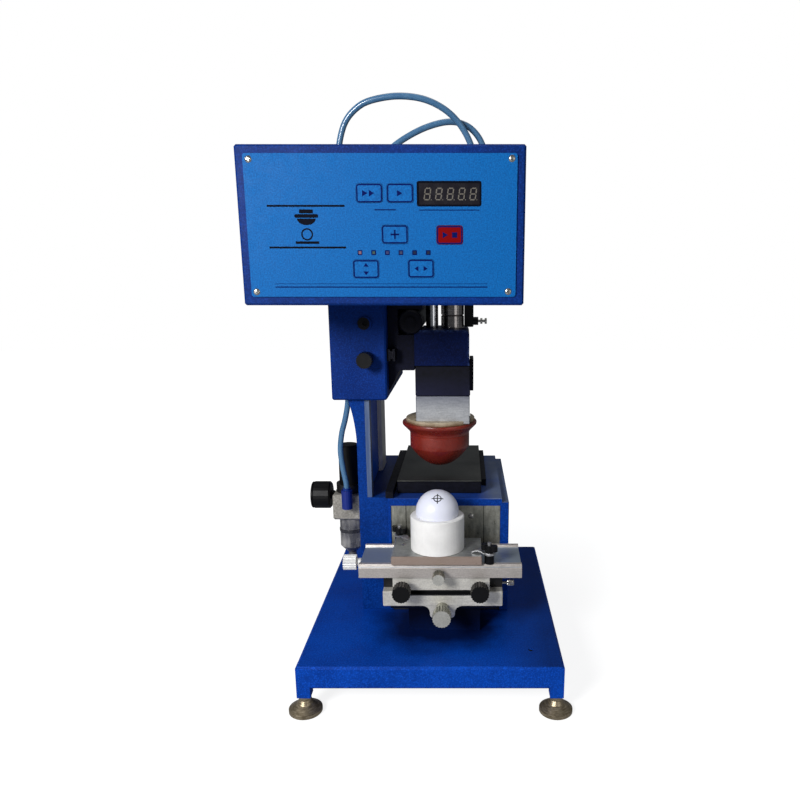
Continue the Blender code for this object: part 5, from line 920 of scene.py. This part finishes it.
# Gauge face, on the regulator's left: a black bezel round a white dial with unnumbered ticks, a red
# pointer and its hub.
dial_white, *_ = moulded("dial_white", (0.72, 0.72, 0.69), 0.45, 900, 0.05)
pointer_red, *_ = moulded("pointer_red", (0.45, 0.01, 0.01), 0.40, 900, 0.05)
low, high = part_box("gauge")
gauge_face = Vector((low[0], (low[1] + high[1]) / 2, (low[2] + high[2]) / 2))
LEFTWARDS = (-1, 0, 0)
TICKS = 28
POINTER_ANGLE, POINTER_MIDDLE = 0.9, 0.0035
settle(lathe([(12.4, -0.2), (12.4, 0.9), (13.0, 1.4), (14.2, 1.4), (14.8, 0.9), (14.8, -0.2), (12.4, -0.2)],
             gauge_face, 64, LEFTWARDS), "gauge_bezel", black_plastic, body="frame")
settle(lathe([(0, 0.25), (12.45, 0.25), (12.45, 0.02), (0, 0.02)], gauge_face, 64, LEFTWARDS), "gauge_dial",
       dial_white, body="frame")
ticks = []
for i in range(TICKS):
    angle = math.radians(-135 + 270 / (TICKS - 1) * i)
    reach, length, width = (11.0, 1.0, 0.26) if i % 3 else (10.4, 2.4, 0.5)
    bpy.ops.object.select_all(action="DESELECT")
    bpy.ops.mesh.primitive_plane_add(size=0.001, location=(0, 0, 0), rotation=(0, -QUARTER, 0))
    tick = bpy.context.object
    bpy.ops.object.transform_apply(location=False, rotation=True, scale=False)
    tick.scale = (1, width, length)
    tick.rotation_euler = (angle, 0, 0)
    tick.location = gauge_face + Vector((-0.3, -math.sin(angle) * reach, math.cos(angle) * reach)) / 1000
    ticks.append(tick)
gather(ticks, "gauge_ticks", black_ink, "frame")
bpy.ops.object.select_all(action="DESELECT")
bpy.ops.mesh.primitive_cone_add(vertices=4, radius1=0.0008, radius2=0.00012, depth=0.0115)
pointer = bpy.context.object
pointer.scale = (0.35, 1, 1)
pointer.location = gauge_face + Vector((-0.0009, POINTER_MIDDLE * math.sin(POINTER_ANGLE),
                                        POINTER_MIDDLE * math.cos(POINTER_ANGLE)))
pointer.rotation_euler = (-POINTER_ANGLE, 0, 0)
settle(pointer, "gauge_pointer", pointer_red, body="frame")
settle(lathe([(0, 1.5), (0.9, 1.4), (1.3, 1.0), (1.3, 0.2), (0, 0.2)], gauge_face, 24, LEFTWARDS),
       "gauge_hub", plated, body="frame")

# Push-in fittings: a blue plastic release ring round the hose's end, in the two ports of the valve block
# and in the regulator's elbow. It is pressed in to free the hose. One is modelled and copied.
ring_blue, *_ = moulded("ring_blue", (0.004, 0.030, 0.220), 0.35, 900, 0.08)
ring = lathe([(3.15, 0), (4.1, 0), (4.1, 0.5), (3.6, 0.9), (3.6, 1.7), (4.3, 1.9), (4.3, 2.5), (3.15, 2.5),
              (3.15, 0)], (0, 0, 0), 48)
for name, place, body in (("ring_manifold_left", (-95, 150, 470.0), "head"),
                          ("ring_manifold_right", (-63, 150, 470.0), "head"),
                          ("ring_elbow", (-101.5, 148, 178.0), "frame")):
    release_ring = copied(ring)
    release_ring.location = place_at(*place)
    settle(release_ring, name, ring_blue, smooth=35, body=body)
bpy.data.objects.remove(ring)

# Small fasteners: screws in the table's front plate, the jig plate, the box's rear cover and the housing's
# side cover, and the middle slide's side lock with its knurled head. A black plug in the base's spare hole
# stands in for the shade inside it.
cross_screw("front_plate_screw", place_at(34.0, 119.2, 158.1), 2.9, "frame", turn=10)
cross_screw("jig_screw", place_at(-34.4, 83.4, 140.0), 2.6, "x_table", (0, 0, 1), 50)
# A black plug stands in for the shade inside the base's spare hole.
hole_shade = lathe([(0, 0), (1.9, 0), (2.4, 0.4), (2.4, 1.5), (1.9, 1.9), (1.2, 1.8), (0, 1.6)],
             place_at(92, 33, 47.4), 32)
settle(hole_shade, "bolt_hole_shade", black_plastic, smooth=35, body="frame")
for i in range(6):
    place = place_at(-107, 141 + 72 * (i % 3), 305.5 + 112 * (i // 3))
    cross_screw("cover_screw_%d" % i, place, 2.6, "head", LEFTWARDS, 33 * i)
for i, (x, z) in enumerate(((-146, 499), (67.5, 499), (-146, 390.5), (67.5, 390.5))):
    cross_screw("back_screw_%d" % i, place_at(x, 60, z), 2.2, "head", (0, 1, 0), 25 * i)
bpy.data.objects.remove(first_screw)
KNURL_STEP = math.radians(7.5)
lock = lathe([(0, -1), (1.6, -1), (1.6, 5), (3.0, 5), (3.2, 5.4), (3.2, 11.2), (2.7, 11.8), (0, 11.8)],
             (0, 0, 0), 48)
for vertex in lock.data.vertices:
    angle = math.atan2(vertex.co.y, vertex.co.x)
    if vertex.co.xy.length > 0.0029 and round(angle / KNURL_STEP) % 2:
        vertex.co.xy *= 0.93
lock.location = place_at(65, 67, 105.6)
lock.rotation_euler = (0, QUARTER, 0)
settle(lock, "side_lock_screw", plated, smooth=25, body="y_table")
